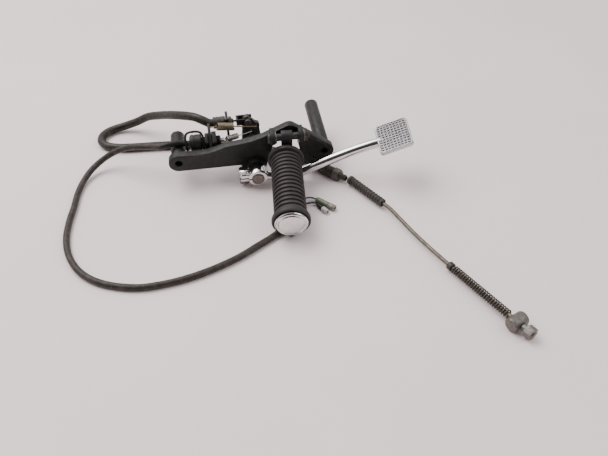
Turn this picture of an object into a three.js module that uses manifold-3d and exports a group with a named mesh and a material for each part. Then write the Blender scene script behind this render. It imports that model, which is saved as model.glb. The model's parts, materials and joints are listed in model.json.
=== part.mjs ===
// Right-hand motorcycle footrest bracket: folding ribbed peg, rear brake pedal on a splined
// pivot shaft, stop-light switch, and the brake cable and switch lead lying on the floor.
// Millimetres, +Z up. The floor is Z = 0 and the whole unit lies the way it was set down.
import * as THREE from "three";
import { mergeVertices } from "three/addons/utils/BufferGeometryUtils.js";
import Module from "manifold-3d";

const wasm = await Module();
wasm.setup();

// ---------------------------------------------------------------- driving dimensions
// Bracket frame: x forward, y inboard, z up, origin on the rear mounting hole's outer face.
const HEADING = 8.5; // degrees the bracket is turned about the vertical
const TILT = 6; // degrees its inboard side is raised by the cable under it
const BRACKET_AT = [-116.7, 1.1, 32]; // the bracket frame origin above the floor
const GAP = 0.3; // between pieces that touch

const PLATE_T = 8; // bracket plate thickness
const HOLE_SPACING = 164; // rear to front mounting hole
const FRONT_DROP = 5; // front hole below the rear one
const BOLT_BORE = 8.5; // mounting holes and tubes
const END_R = 11; // rounded plate ends
const TUBE_D = 16; // mounting spacer tubes
const REAR_TUBE_L = 40;
const FRONT_TUBE_L = 80;

const PIVOT_X = 85; // pedal pivot shaft, behind the front hole
const PIVOT_DROP = 15.4;
const SHAFT_D = 14;
const SLEEVE_D = 21; // pivot sleeve through the plate
const SLEEVE_OUT = 5; // sleeve outboard of the plate's outer face
const SLEEVE_IN = 38; // sleeve inboard of it
const BUSH_WALL = 1.6;
const BUSH_L = 14;
const RUN = 0.08; // running clearance on the shaft, radius

const CLAMP_D = 21.6; // pedal clamp ring
const CLAMP_W = 17;
const LUG_H = 11; // the two halves of its pinched lug
const ARM_H = 11; // pedal arm section
const ARM_W = 9;
const PAD_L = 37.4;
const PAD_W = 44.6;
const PAD_T = 5;
const PAD_PITCH = 21.7; // degrees the pad rises forwards
const PAD_AT = [235.5, -22, 27.3]; // top face centre
const PAD_COLS = 9; // rows of points on the pad, front to back
const PAD_ROWS = 10;

const PIN_D = 8; // peg pivot pin
const PIN_AT = [-8.5, 29]; // its y and z
const EAR_T = 5;
const EAR_GAP = 26; // between the two ears
const EAR_R = 8;
const PEG_X = 117.5; // peg axis where it meets the bracket
const PEG_Y = -15;
const PEG_Z = 5;
const PEG_SWEEP = 5; // degrees the peg points back
const PEG_DROOP = 1.3; // degrees its outer end hangs
const RUBBER_L = 96;
const RUBBER_D = 34.4; // over the ribs
const GROOVE_D = 30.4;
const FLANGE_D = 40;
const FLANGE_L = 6;
const RIBS = 15;
const STEM_D = 16; // steel core of the peg
const CAP_D = 34;
const CAP_T = 4;
const TONGUE_W = 12;

const LEVER_Y = 42.5; // outboard face of the inner lever
const LEVER_T = 5;
const CABLE_PIN = [82, 16]; // x and z of the cable's pin on the lever
const RETURN_HOOK = [91, 8]; // spring holes in the lever
const SWITCH_HOOK = [85.5, 1];
const HOOK_HOLE = 3.2;
const CLEVIS_PIN_D = 5;

const SWITCH_Y = 22; // switch axis
const SWITCH_Z = 9;
const SWITCH_D = 19;
const SWITCH_NECK_D = 12;
const SWITCH_TAB_X = 36; // rear face of the tab that holds the switch
const TAB_T = 3;

const CABLE_D = 10;
const CABLE_STOP_X = 57; // rear face of the cable stop
const FERRULE_D = 13.6;
const WIRE_D = 4.4; // inner wire at the brake end
const LEAD_D = 7;

// ---------------------------------------------------------------- helpers
const rad = THREE.MathUtils.degToRad;
const v3 = (a) => new THREE.Vector3(...a);

function toSolid(geometry) {
  const bare = new THREE.BufferGeometry();
  const source = geometry.index ? geometry.toNonIndexed() : geometry;
  bare.setAttribute("position", source.getAttribute("position"));
  const merged = mergeVertices(bare, 1e-4);
  return new wasm.Manifold(
    new wasm.Mesh({
      numProp: 3,
      vertProperties: new Float32Array(merged.attributes.position.array),
      triVerts: new Uint32Array(merged.index.array),
    }),
  );
}

function toGeometry(solid) {
  const mesh = solid.getMesh();
  const geometry = new THREE.BufferGeometry();
  geometry.setAttribute("position", new THREE.BufferAttribute(mesh.vertProperties, 3));
  geometry.setIndex(new THREE.BufferAttribute(mesh.triVerts, 1));
  return geometry;
}

const join = (...parts) => toGeometry(parts.map(toSolid).reduce((a, b) => a.add(b)));
const cut = (body, ...tools) =>
  toGeometry(tools.map(toSolid).reduce((a, b) => a.subtract(b), toSolid(body)));

// Turns a shape made along +Y from y = 0 so that it runs from point a towards point b.
function aim(geometry, a, b) {
  const way = v3(b).sub(v3(a)).normalize();
  const turn = new THREE.Quaternion().setFromUnitVectors(new THREE.Vector3(0, 1, 0), way);
  geometry.applyQuaternion(turn);
  return geometry.translate(...a);
}

const distance = (a, b) => v3(a).distanceTo(v3(b));

// A solid of revolution from [radius, distance along] pairs, from point a towards b.
function turned(profile, a, b, sides = 24, spin = 0) {
  const points = profile.map(([r, y]) => new THREE.Vector2(r, y));
  return aim(new THREE.LatheGeometry(points, sides).rotateY(spin), a, b);
}

const rod = (d, a, b, sides = 24, spin = 0) => {
  const l = distance(a, b);
  return turned([[0, 0], [d / 2, 0], [d / 2, l], [0, l]], a, b, sides, spin);
};

const ring = (dOut, dIn, a, b, sides = 24) => {
  const l = distance(a, b);
  const [o, i] = [dOut / 2, dIn / 2];
  return turned([[i, 0], [o, 0], [o, l], [i, l], [i, 0]], a, b, sides);
};

// A ring with a wavy outside: the envelope of a coil spring or the folds of a rubber boot.
function ribbed(dOut, dRoot, dIn, count, a, b, sides = 12) {
  const step = distance(a, b) / count;
  const profile = [[dIn / 2, 0]];
  for (let i = 0; i < count; i++) {
    profile.push([dRoot / 2, i * step]);
    profile.push([dOut / 2, (i + 0.5) * step]);
  }
  profile.push([dRoot / 2, count * step], [dIn / 2, count * step], [dIn / 2, 0]);
  return turned(profile, a, b, sides);
}

const hexNut = (flats, bore, a, b, spin = 0) =>
  cut(rod(flats / Math.cos(Math.PI / 6), a, b, 6, spin), rod(bore, past(a, b, -1), past(b, a, -1)));

// The point that lies a distance from a on the way to b (negative: away from b).
function past(a, b, d) {
  return v3(b).sub(v3(a)).normalize().multiplyScalar(d).add(v3(a)).toArray();
}

// A plate drawn as an outline of x and z, from y0 to y1.
function plateXZ(shape, y0, y1, curveSegments = 8) {
  const g = new THREE.ExtrudeGeometry(shape, {
    depth: y1 - y0,
    bevelEnabled: false,
    curveSegments,
  });
  return g.rotateX(Math.PI / 2).translate(0, y1, 0);
}

// A plate drawn as an outline of y and z, from x0 to x1.
function plateYZ(shape, x0, x1, curveSegments = 8) {
  const g = new THREE.ExtrudeGeometry(shape, {
    depth: x1 - x0,
    bevelEnabled: false,
    curveSegments,
  });
  return g.rotateY(Math.PI / 2).rotateX(Math.PI / 2).translate(x0, 0, 0);
}

const box = (lo, hi) =>
  new THREE.BoxGeometry(...lo.map((l, i) => hi[i] - l)).translate(
    ...lo.map((l, i) => (l + hi[i]) / 2),
  );

const outline = (points) => new THREE.Shape(points.map((p) => new THREE.Vector2(...p)));

// A round or oval bar along a smooth curve through the points.
function bar(points, dx, dy, steps, sides = 8) {
  const section = [];
  for (let i = 0; i < sides; i++) {
    const a = (i / sides) * Math.PI * 2;
    section.push(new THREE.Vector2((Math.cos(a) * dx) / 2, (Math.sin(a) * dy) / 2));
  }
  return new THREE.ExtrudeGeometry(new THREE.Shape(section), {
    steps,
    bevelEnabled: false,
    extrudePath: new THREE.CatmullRomCurve3(points.map(v3), false, "centripetal"),
  });
}

const finish = {
  paint: { color: 0x1c1c1e, roughness: 0.55, metalness: 0.2 },
  chrome: { color: 0xc9ccd0, roughness: 0.12, metalness: 1 },
  steel: { color: 0x8c8a86, roughness: 0.45, metalness: 1 },
  worn: { color: 0x5c4a3c, roughness: 0.7, metalness: 0.7 },
  bronze: { color: 0x9a7b4a, roughness: 0.5, metalness: 0.9 },
  rubber: { color: 0x2b2a2b, roughness: 0.85, metalness: 0 },
  plastic: { color: 0x232322, roughness: 0.6, metalness: 0 },
  vinyl: { color: 0x2e2722, roughness: 0.6, metalness: 0 },
  wire: { color: 0x6d6555, roughness: 0.6, metalness: 0.6 },
  green: { color: 0x6f8468, roughness: 0.5, metalness: 0 },
  blue: { color: 0x5f8fa8, roughness: 0.5, metalness: 0 },
};

function piece(group, name, look, geometry) {
  const mesh = new THREE.Mesh(geometry, new THREE.MeshStandardMaterial(finish[look]));
  mesh.name = name;
  group.add(mesh);
}

// ---------------------------------------------------------------- frames
const root = new THREE.Group();
const bracket = new THREE.Group();
bracket.position.set(...BRACKET_AT);
bracket.rotation.set(rad(TILT), 0, rad(HEADING), "ZXY");
root.add(bracket);

const pivot = [PIVOT_X, -PIVOT_DROP];
const atPivot = (y) => [PIVOT_X, y, -PIVOT_DROP];
const front = [HOLE_SPACING, -FRONT_DROP];
const pinAt = (x) => [x, ...PIN_AT];
const earIn = PEG_X + 2.5 - EAR_GAP / 2; // inner face of the rear ear
const earOut = earIn + EAR_GAP; // inner face of the front ear

// ---------------------------------------------------------------- bracket
function bracketOutline() {
  const s = new THREE.Shape();
  s.absarc(0, 0, END_R, Math.PI / 2, Math.PI * 1.5, false);
  s.lineTo(PIVOT_X - 17, -12.2);
  s.absarc(...pivot, SLEEVE_D / 2 + 1.8, Math.PI * 1.05, Math.PI * 1.95, false);
  // the arch over the peg
  s.lineTo(PEG_X - 15, 3);
  s.lineTo(PEG_X - 9.5, 18);
  s.quadraticCurveTo(PEG_X - 6, 27, PEG_X + 2, 27);
  s.quadraticCurveTo(PEG_X + 11, 27, PEG_X + 15, 18);
  s.lineTo(PEG_X + 18.5, 0);
  s.lineTo(PEG_X + 21.5, -21);
  s.quadraticCurveTo(HOLE_SPACING - 20, -21, HOLE_SPACING - 12, -18);
  s.absarc(...front, END_R, Math.PI * 1.55, Math.PI * 2.25, false);
  s.lineTo(PEG_X + 14, 34);
  s.absarc(PEG_X + 7, 28, 9, Math.PI * 0.25, Math.PI * 0.65, false);
  s.lineTo(PIVOT_X + 10, 24.5);
  s.lineTo(PIVOT_X - 5, 20);
  s.lineTo(PIVOT_X - 32, 16.5);
  s.quadraticCurveTo(34, 9, 20, 9.5);
  s.lineTo(0, END_R);
  return s;
}

const bore = (x, z, d) => rod(d, [x, -1, z], [x, PLATE_T + 1, z]);
const plate = cut(
  plateXZ(bracketOutline(), 0, PLATE_T),
  bore(0, 0, BOLT_BORE),
  bore(...front, BOLT_BORE),
  bore(...pivot, SLEEVE_D + 2 * GAP),
  bore(HOLE_SPACING - 11, -12.5, 4.4),
);
piece(bracket, "bracket_plate", "paint", plate);

function mountTube(name, [x, z], length) {
  const from = PLATE_T + GAP;
  piece(bracket, name, "paint", ring(TUBE_D, BOLT_BORE, [x, from, z], [x, from + length, z]));
}
mountTube("rear_mount_tube", [0, 0], REAR_TUBE_L);
mountTube("front_mount_tube", front, FRONT_TUBE_L);

piece(
  bracket,
  "pivot_sleeve",
  "paint",
  ring(SLEEVE_D, SHAFT_D + 2 * (RUN + BUSH_WALL + GAP), atPivot(-SLEEVE_OUT), atPivot(SLEEVE_IN)),
);
const bush = (y) =>
  ring(SHAFT_D + 2 * (RUN + BUSH_WALL), SHAFT_D + 2 * RUN, atPivot(y), atPivot(y + BUSH_L));
piece(bracket, "outer_bush", "bronze", bush(-SLEEVE_OUT));
piece(bracket, "inner_bush", "bronze", bush(SLEEVE_IN - BUSH_L));

function ear(name, x0) {
  const [py, pz] = PIN_AT;
  const s = new THREE.Shape();
  s.moveTo(-GAP, pz - 17);
  s.lineTo(-GAP, pz + EAR_R);
  s.lineTo(py, pz + EAR_R);
  s.absarc(py, pz, EAR_R, Math.PI / 2, Math.PI * 1.15, false);
  s.closePath();
  const blank = plateYZ(s, x0, x0 + EAR_T);
  piece(bracket, name, "paint", cut(blank, rod(PIN_D + 2 * GAP, pinAt(x0 - 1), pinAt(x0 + EAR_T + 1))));
}
ear("rear_peg_ear", earIn - EAR_T);
ear("front_peg_ear", earOut);

// tab for the switch, stop for the cable and the guide loop over the switch
const switchTab = outline([
  [PLATE_T + GAP, -4],
  [SWITCH_Y + 11, -4],
  [SWITCH_Y + 11, 26],
  [SWITCH_Y + 4, 26],
  [SWITCH_Y - 6, 19],
  [PLATE_T + GAP, 10],
]);
piece(
  bracket,
  "switch_tab",
  "paint",
  cut(
    plateYZ(switchTab, SWITCH_TAB_X, SWITCH_TAB_X + TAB_T),
    rod(SWITCH_NECK_D + 2 * GAP, [SWITCH_TAB_X - 1, SWITCH_Y, SWITCH_Z], [SWITCH_TAB_X + 5, SWITCH_Y, SWITCH_Z]),
  ),
);

const cableY = LEVER_Y + LEVER_T / 2;
const cableZ = CABLE_PIN[1];
const onCable = (x) => [x, cableY, cableZ];
const stopPlate = outline([
  [PLATE_T + GAP, -6],
  [cableY + 9, -6],
  [cableY + 9, cableZ + 8],
  [cableY - 6.6, cableZ + 8],
  [cableY - 6.6, 2.5],
  [PLATE_T + GAP, 2.5],
]);
piece(
  bracket,
  "cable_stop",
  "paint",
  cut(
    plateYZ(stopPlate, CABLE_STOP_X, CABLE_STOP_X + TAB_T),
    rod(7 + 2 * GAP, onCable(CABLE_STOP_X - 1), onCable(CABLE_STOP_X + 5)),
  ),
);

const loopRear = 11.3;
const loopFront = 29.7;
const loopY = 13;
piece(
  bracket,
  "wire_guide_loop",
  "paint",
  bar(
    [
      [loopRear, PLATE_T + 1.6, -4],
      [loopRear, loopY - 1, -2],
      [loopRear, loopY, 6],
      [loopRear, loopY, 26],
      [loopRear + 3, loopY, 31],
      [loopFront - 3, loopY, 31],
      [loopFront, loopY, 26],
      [loopFront, loopY, 6],
      [loopFront, loopY - 1, -2],
      [loopFront, PLATE_T + 1.6, -4],
    ],
    2.6,
    2.6,
    48,
    6,
  ),
);

// ---------------------------------------------------------------- stop-light switch
const onSwitch = (x) => [x, SWITCH_Y, SWITCH_Z];
const bodyRear = loopRear + 2.2;
const bodyFront = loopFront - 2.2;
const neckEnd = SWITCH_TAB_X + 13;
piece(
  bracket,
  "switch_body",
  "plastic",
  cut(
    join(
      turned(
        [[0, 0], [4, 0], [SWITCH_D / 2, 2], [SWITCH_D / 2, bodyFront - bodyRear], [0, bodyFront - bodyRear]],
        onSwitch(bodyRear),
        onSwitch(bodyFront),
      ),
      rod(SWITCH_NECK_D, onSwitch(bodyFront - 1), onSwitch(neckEnd)),
    ),
    rod(5 + 2 * GAP, onSwitch(neckEnd - 14), onSwitch(neckEnd + 1), 12),
  ),
);
const nutGap = 0.4;
const nutFaces = [SWITCH_TAB_X - nutGap, SWITCH_TAB_X + TAB_T + nutGap];
piece(
  bracket,
  "switch_rear_nut",
  "plastic",
  hexNut(18, SWITCH_NECK_D + 2 * GAP, onSwitch(nutFaces[0] - 4), onSwitch(nutFaces[0])),
);
piece(
  bracket,
  "switch_front_nut",
  "plastic",
  hexNut(20, SWITCH_NECK_D + 2 * GAP, onSwitch(nutFaces[1]), onSwitch(nutFaces[1] + 5)),
);
const plungerEnd = neckEnd + 4;
piece(bracket, "switch_plunger", "steel", rod(5, onSwitch(neckEnd - 8), onSwitch(plungerEnd), 12));
const switchHook = [SWITCH_HOOK[0], LEVER_Y - 1.6, SWITCH_HOOK[1]];
const springFrom = past(onSwitch(plungerEnd), switchHook, 2.6);
const springTo = past(springFrom, switchHook, 16);
piece(
  bracket,
  "switch_spring",
  "steel",
  join(
    ribbed(7, 5.4, 3, 10, springFrom, springTo),
    rod(3.6, past(springFrom, switchHook, 0.1), past(springFrom, switchHook, 1), 8),
    rod(1.6, past(springFrom, switchHook, -1.8), past(springFrom, switchHook, 0.6), 8),
  ),
);
piece(bracket, "switch_spring_hook", "steel", rod(1.6, past(springTo, switchHook, GAP), switchHook, 8));

// ---------------------------------------------------------------- inner lever and springs
const boreAlong = (d, [x, z]) => rod(d, [x, LEVER_Y - 1, z], [x, LEVER_Y + LEVER_T + 1, z], 16);
function leverOutline() {
  const s = new THREE.Shape();
  s.absarc(...pivot, 12, Math.PI * 0.9, Math.PI * 2.1, false);
  s.lineTo(RETURN_HOOK[0] + 4, RETURN_HOOK[1] - 2);
  s.absarc(...RETURN_HOOK, 4.5, 0, Math.PI / 2, false);
  s.lineTo(CABLE_PIN[0], CABLE_PIN[1] + 6);
  s.absarc(...CABLE_PIN, 6, Math.PI / 2, Math.PI, false);
  return s;
}
piece(
  bracket,
  "inner_lever",
  "steel",
  cut(
    plateXZ(leverOutline(), LEVER_Y, LEVER_Y + LEVER_T),
    boreAlong(SHAFT_D + 2 * GAP, pivot),
    boreAlong(CLEVIS_PIN_D + 2 * GAP, CABLE_PIN),
    boreAlong(HOOK_HOLE, RETURN_HOOK),
    boreAlong(HOOK_HOLE, SWITCH_HOOK),
  ),
);
const shaftIn = LEVER_Y + LEVER_T + 5;
const shaftOut = -SLEEVE_OUT - GAP - CLAMP_W - 2;
const grooveY = LEVER_Y + LEVER_T + 1.8;
piece(
  bracket,
  "pivot_shaft",
  "worn",
  cut(
    rod(SHAFT_D, atPivot(shaftOut), atPivot(shaftIn)),
    ring(SHAFT_D + 4, SHAFT_D - 2, atPivot(grooveY), atPivot(grooveY + 1.6)),
  ),
);
const washer = (y0, y1, d) => ring(d, SHAFT_D + 2 * GAP, atPivot(y0), atPivot(y1));
piece(bracket, "thrust_washer", "steel", washer(SLEEVE_IN + GAP, LEVER_Y - GAP, 24));
const clip = ring(22, SHAFT_D - 2 + 2 * GAP, atPivot(grooveY + 0.3), atPivot(grooveY + 1.3));
const clipMouth = box(
  [PIVOT_X - 3, grooveY - 1, -PIVOT_DROP],
  [PIVOT_X + 3, grooveY + 3, -PIVOT_DROP + 14],
);
piece(bracket, "shaft_circlip", "steel", cut(clip, clipMouth));

const returnTail = [SWITCH_TAB_X + TAB_T + GAP, 29, 23];
const returnFrom = [46.5, 29.5, 22.5];
const returnHook = [RETURN_HOOK[0], LEVER_Y - 1.6, RETURN_HOOK[1]];
const returnTo = past(returnFrom, returnHook, 20);
piece(
  bracket,
  "return_spring",
  "worn",
  join(
    ribbed(9, 7.4, 5, 12, returnFrom, returnTo),
    rod(1.8, returnTail, past(returnFrom, returnTo, 0.8), 8),
    rod(5.6, past(returnFrom, returnTo, 0.2), past(returnFrom, returnTo, 1.2), 8),
  ),
);
piece(
  bracket,
  "return_spring_hook",
  "steel",
  rod(1.8, past(returnTo, returnHook, GAP), returnHook, 8),
);

// ---------------------------------------------------------------- brake pedal
const clampIn = -SLEEVE_OUT - GAP - 0.2;
const clampOut = clampIn - CLAMP_W;
const clampMid = (clampIn + clampOut) / 2;
const lugX = PIVOT_X - CLAMP_D / 2 - 4;
const armPath = [
  [PIVOT_X + 9, clampMid, -PIVOT_DROP - 3],
  [PIVOT_X + 21, clampMid - 0.4, -PIVOT_DROP - 6],
  [PIVOT_X + 34, clampMid - 1.4, -PIVOT_DROP - 6.5],
  [PIVOT_X + 47, clampMid - 2.6, -PIVOT_DROP - 3],
  [PIVOT_X + 62, -17.5, -11.3],
  [PIVOT_X + 84, -17, -2.4],
  [PIVOT_X + 108, -17, 7.4],
  [PAD_AT[0] - 3, -20, 10.6],
];
const clampBody = cut(
  join(
    ring(CLAMP_D, SHAFT_D + 2 * GAP, atPivot(clampOut), atPivot(clampIn)),
    box([lugX - 5, clampOut + 2.5, -PIVOT_DROP - LUG_H / 2], [PIVOT_X - 9, clampIn - 2.5, -PIVOT_DROP + LUG_H / 2]),
  ),
  box([lugX - 6, clampOut - 1, -PIVOT_DROP - 0.9], [PIVOT_X - 7, clampIn + 1, -PIVOT_DROP + 0.9]),
  rod(6.6, [lugX - 0.5, clampMid, -PIVOT_DROP - 9], [lugX - 0.5, clampMid, -PIVOT_DROP + 9], 16),
);
const armBar = cut(
  bar(armPath, ARM_W, ARM_H, 22, 12),
  rod(SHAFT_D + 6, atPivot(clampOut - 3), atPivot(clampIn + 3)),
);
piece(bracket, "brake_pedal_arm", "chrome", join(clampBody, armBar));

const onBolt = (z) => [lugX - 0.5, clampMid, -PIVOT_DROP + z];
piece(
  bracket,
  "pinch_bolt",
  "chrome",
  join(
    rod(10 / Math.cos(Math.PI / 6), onBolt(LUG_H / 2 + GAP), onBolt(LUG_H / 2 + GAP + 4), 6),
    rod(6, onBolt(-LUG_H / 2 - 4.5), onBolt(LUG_H / 2 + 1), 16),
  ),
);
piece(
  bracket,
  "pinch_nut",
  "chrome",
  hexNut(10, 6 + 2 * GAP, onBolt(-LUG_H / 2 - GAP - 4), onBolt(-LUG_H / 2 - GAP)),
);

// The pad is one closed block whose top is a grid of small pyramids inside a rim.
function padGeometry() {
  const corners = [];
  const faces = [];
  const rim = 2.2;
  const point = (x, y, z) => corners.push(x, y, z) / 3 - 1;
  const at = (i, n, size) => -size / 2 + rim + (i / n) * (size - 2 * rim);
  const grid = [];
  for (let i = 0; i <= PAD_COLS; i++) {
    grid.push([]);
    for (let j = 0; j <= PAD_ROWS; j++) {
      grid[i].push(point(at(i, PAD_COLS, PAD_L), at(j, PAD_ROWS, PAD_W), -1.6));
    }
  }
  for (let i = 0; i < PAD_COLS; i++) {
    for (let j = 0; j < PAD_ROWS; j++) {
      const x = at(i + 0.5, PAD_COLS, PAD_L);
      const y = at(j + 0.5, PAD_ROWS, PAD_W);
      const tip = point(x, y, 0);
      const loop = [grid[i][j], grid[i + 1][j], grid[i + 1][j + 1], grid[i][j + 1]];
      loop.forEach((a, k) => faces.push(a, loop[(k + 1) % 4], tip));
    }
  }
  const edge = [];
  for (let i = 0; i < PAD_COLS; i++) edge.push(grid[i][0]);
  for (let j = 0; j < PAD_ROWS; j++) edge.push(grid[PAD_COLS][j]);
  for (let i = PAD_COLS; i > 0; i--) edge.push(grid[i][PAD_ROWS]);
  for (let j = PAD_ROWS; j > 0; j--) edge.push(grid[0][j]);
  // the rim's rings follow the grid's edge outwards, over the top and down to the back
  const ringOf = (grow, z) =>
    edge.map((k) => {
      const x = corners[3 * k];
      const y = corners[3 * k + 1];
      const sx = (PAD_L - 2 * rim + 2 * grow) / (PAD_L - 2 * rim);
      const sy = (PAD_W - 2 * rim + 2 * grow) / (PAD_W - 2 * rim);
      return point(x * sx, y * sy, z);
    });
  const rings = [edge, ringOf(0.5, -0.4), ringOf(rim, -0.4), ringOf(rim, -PAD_T)];
  for (let r = 0; r + 1 < rings.length; r++) {
    edge.forEach((_, k) => {
      const n = (k + 1) % edge.length;
      const [a, b, c, d] = [rings[r][k], rings[r][n], rings[r + 1][n], rings[r + 1][k]];
      faces.push(a, d, c, a, c, b);
    });
  }
  const middle = point(0, 0, -PAD_T);
  const last = rings[rings.length - 1];
  last.forEach((a, k) => faces.push(a, middle, last[(k + 1) % last.length]));
  const g = new THREE.BufferGeometry();
  g.setAttribute("position", new THREE.Float32BufferAttribute(corners, 3));
  g.setIndex(faces);
  return g;
}
const pad = new THREE.Group();
pad.position.set(...PAD_AT);
pad.rotation.set(0, rad(-PAD_PITCH), rad(-4.8), "ZYX");
bracket.add(pad);
piece(
  pad,
  "pedal_pad",
  "chrome",
  join(padGeometry(), box([-9, -5, -PAD_T - 3], [5, 9, -PAD_T + 0.5])),
);

// ---------------------------------------------------------------- folding peg
const peg = new THREE.Group();
peg.position.set(PEG_X, PEG_Y, PEG_Z);
peg.rotation.set(rad(PEG_DROOP), 0, rad(-PEG_SWEEP), "ZXY");
bracket.add(peg);
root.updateMatrixWorld(true);
const inPeg = (p) => peg.worldToLocal(bracket.localToWorld(v3(p))).toArray();
const [tongueX, eyeY, eyeZ] = inPeg(pinAt(PEG_X + 2.5));
const discT = 4;
function tongueOutline() {
  const s = new THREE.Shape();
  s.moveTo(discT - 0.5, -9);
  s.lineTo(eyeY + 3, 2);
  s.lineTo(eyeY + 7, eyeZ - 2);
  s.absarc(eyeY, eyeZ, 7, 0, Math.PI * 0.95, false);
  s.lineTo(discT - 0.5, 12);
  return s;
}
const endDisc = rod(31, [0, discT, 0], [0, 0.3, 0], 32);
const stem = rod(STEM_D, [0, 1, 0], [0, -RUBBER_L + 2, 0]);
const tongue = plateYZ(tongueOutline(), tongueX - TONGUE_W / 2, tongueX + TONGUE_W / 2);
const eye = rod(PIN_D + 2 * GAP, inPeg(pinAt(PEG_X - 10)), inPeg(pinAt(PEG_X + 15)));
const feelerAt = -RUBBER_L + 5.5;
const feelerBore = rod(5.6, [0, feelerAt, -FLANGE_D / 2 - 1], [0, feelerAt, -3], 12);
piece(peg, "peg_core", "paint", cut(join(endDisc, stem, tongue), eye, feelerBore));

function rubberProfile() {
  const [f, g, r] = [FLANGE_D / 2, GROOVE_D / 2, RUBBER_D / 2];
  const bore = STEM_D / 2 + GAP;
  const p = [[bore, 0], [f - 2, 0], [f, 2], [f, FLANGE_L - 1], [f - 1, FLANGE_L], [g, FLANGE_L]];
  const span = RUBBER_L - 2 * FLANGE_L;
  const pitch = span / RIBS;
  for (let i = 0; i < RIBS; i++) {
    const y = FLANGE_L + i * pitch;
    p.push([g, y + 0.22 * pitch], [r, y + 0.34 * pitch], [r, y + 0.8 * pitch], [g, y + 0.92 * pitch]);
  }
  const end = RUBBER_L - FLANGE_L;
  p.push([f - 1, end], [f, end + 1], [f, RUBBER_L - 2], [f - 2, RUBBER_L]);
  p.push([CAP_D / 2 + 0.8, RUBBER_L], [CAP_D / 2 + 0.8, RUBBER_L - 2], [bore, RUBBER_L - 2], [bore, 0]);
  return p;
}
piece(
  peg,
  "peg_rubber",
  "rubber",
  cut(turned(rubberProfile(), [0, 0, 0], [0, -1, 0], 20), feelerBore),
);
const capFrom = -RUBBER_L + 2 - GAP;
piece(
  peg,
  "peg_end_cap",
  "chrome",
  turned(
    [[0, 0], [CAP_D / 2, 0], [CAP_D / 2, CAP_T], [CAP_D / 2 - 1.2, CAP_T + 1.1], [9, CAP_T + 1.9], [0, CAP_T + 2.1]],
    [0, capFrom, 0],
    [0, capFrom - 1, 0],
    32,
  ),
);
piece(
  peg,
  "feeler_bolt",
  "steel",
  join(
    rod(5, [0, feelerAt, -FLANGE_D / 2 - 1], [0, feelerAt, -4], 12),
    rod(8 / Math.cos(Math.PI / 6), [0, feelerAt, -FLANGE_D / 2 - 3.4], [0, feelerAt, -FLANGE_D / 2 - 0.6], 6),
  ),
);

const pinHead = earIn - EAR_T - GAP;
const pinEnd = earOut + EAR_T + 6.6;
piece(
  bracket,
  "peg_pivot_pin",
  "steel",
  cut(
    join(
      rod(12, pinAt(pinHead - 2.5), pinAt(pinHead), 20),
      rod(PIN_D, pinAt(pinHead - 1), pinAt(pinEnd), 20),
    ),
    rod(2.6, [pinEnd - 2.2, PIN_AT[0], PIN_AT[1] - 8], [pinEnd - 2.2, PIN_AT[0], PIN_AT[1] + 8], 8),
  ),
);
piece(
  bracket,
  "pin_cotter",
  "steel",
  join(
    rod(2, [pinEnd - 2.2, PIN_AT[0], PIN_AT[1] - 8], [pinEnd - 2.2, PIN_AT[0], PIN_AT[1] + 6.5], 8),
    rod(4.4, [pinEnd - 2.2, PIN_AT[0] - 1.2, PIN_AT[1] + 6], [pinEnd - 2.2, PIN_AT[0] + 1.2, PIN_AT[1] + 6], 10),
  ),
);
const pinWasher = (x) => ring(13, PIN_D + 2 * GAP, pinAt(x), pinAt(x + 1.4), 20);
piece(bracket, "pin_washer_rear", "chrome", pinWasher(earIn + GAP));
piece(bracket, "pin_washer_front", "steel", pinWasher(earOut + EAR_T + GAP));

// ---------------------------------------------------------------- brake cable, bracket end
const adjusterEnd = CABLE_STOP_X + TAB_T + 6;
const ferruleRear = CABLE_STOP_X - GAP - 14;
piece(
  bracket,
  "upper_ferrule",
  "steel",
  cut(
    join(
      rod(FERRULE_D, onCable(ferruleRear), onCable(CABLE_STOP_X - GAP)),
      rod(7, onCable(CABLE_STOP_X - 1), onCable(adjusterEnd), 16),
    ),
    rod(CABLE_D + 2 * GAP, onCable(ferruleRear - 1), onCable(ferruleRear + 9)),
    rod(3.4, onCable(ferruleRear + 2), onCable(adjusterEnd + 1), 12),
  ),
);
const lockNutAt = CABLE_STOP_X + TAB_T + GAP;
piece(
  bracket,
  "upper_lock_nut",
  "steel",
  hexNut(11, 7 + 2 * GAP, onCable(lockNutAt), onCable(lockNutAt + 3.4)),
);
// the fork that joins the inner wire to the lever, with the wire as its tail
const strap = (y) => box([adjusterEnd + 4, y, cableZ - 4], [CABLE_PIN[0] + 5, y + 1.6, cableZ + 4]);
const strapGap = LEVER_T / 2 + 0.6;
const forkPin = (d) => rod(d, [CABLE_PIN[0], cableY - 8, cableZ], [CABLE_PIN[0], cableY + 8, cableZ], 16);
piece(
  bracket,
  "cable_fork",
  "paint",
  cut(
    join(
      strap(cableY - strapGap - 1.6),
      strap(cableY + strapGap),
      box(
        [adjusterEnd + 3, cableY - strapGap - 1.6, cableZ - 4],
        [adjusterEnd + 5, cableY + strapGap + 1.6, cableZ + 4],
      ),
      rod(2.4, onCable(ferruleRear + 9.6), onCable(adjusterEnd + 4), 12),
    ),
    forkPin(CLEVIS_PIN_D + 1.4),
  ),
);
const forkOut = cableY - strapGap - 1.6 - GAP;
const forkIn = cableY + strapGap + 1.6 + GAP;
piece(
  bracket,
  "clevis_pin",
  "steel",
  join(
    rod(8, [CABLE_PIN[0], forkOut - 1.6, cableZ], [CABLE_PIN[0], forkOut, cableZ], 16),
    rod(CLEVIS_PIN_D, [CABLE_PIN[0], forkOut - 1, cableZ], [CABLE_PIN[0], forkIn + 1, cableZ], 16),
    rod(7, [CABLE_PIN[0], forkIn, cableZ], [CABLE_PIN[0], forkIn + 1.5, cableZ], 16),
  ),
);

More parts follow.
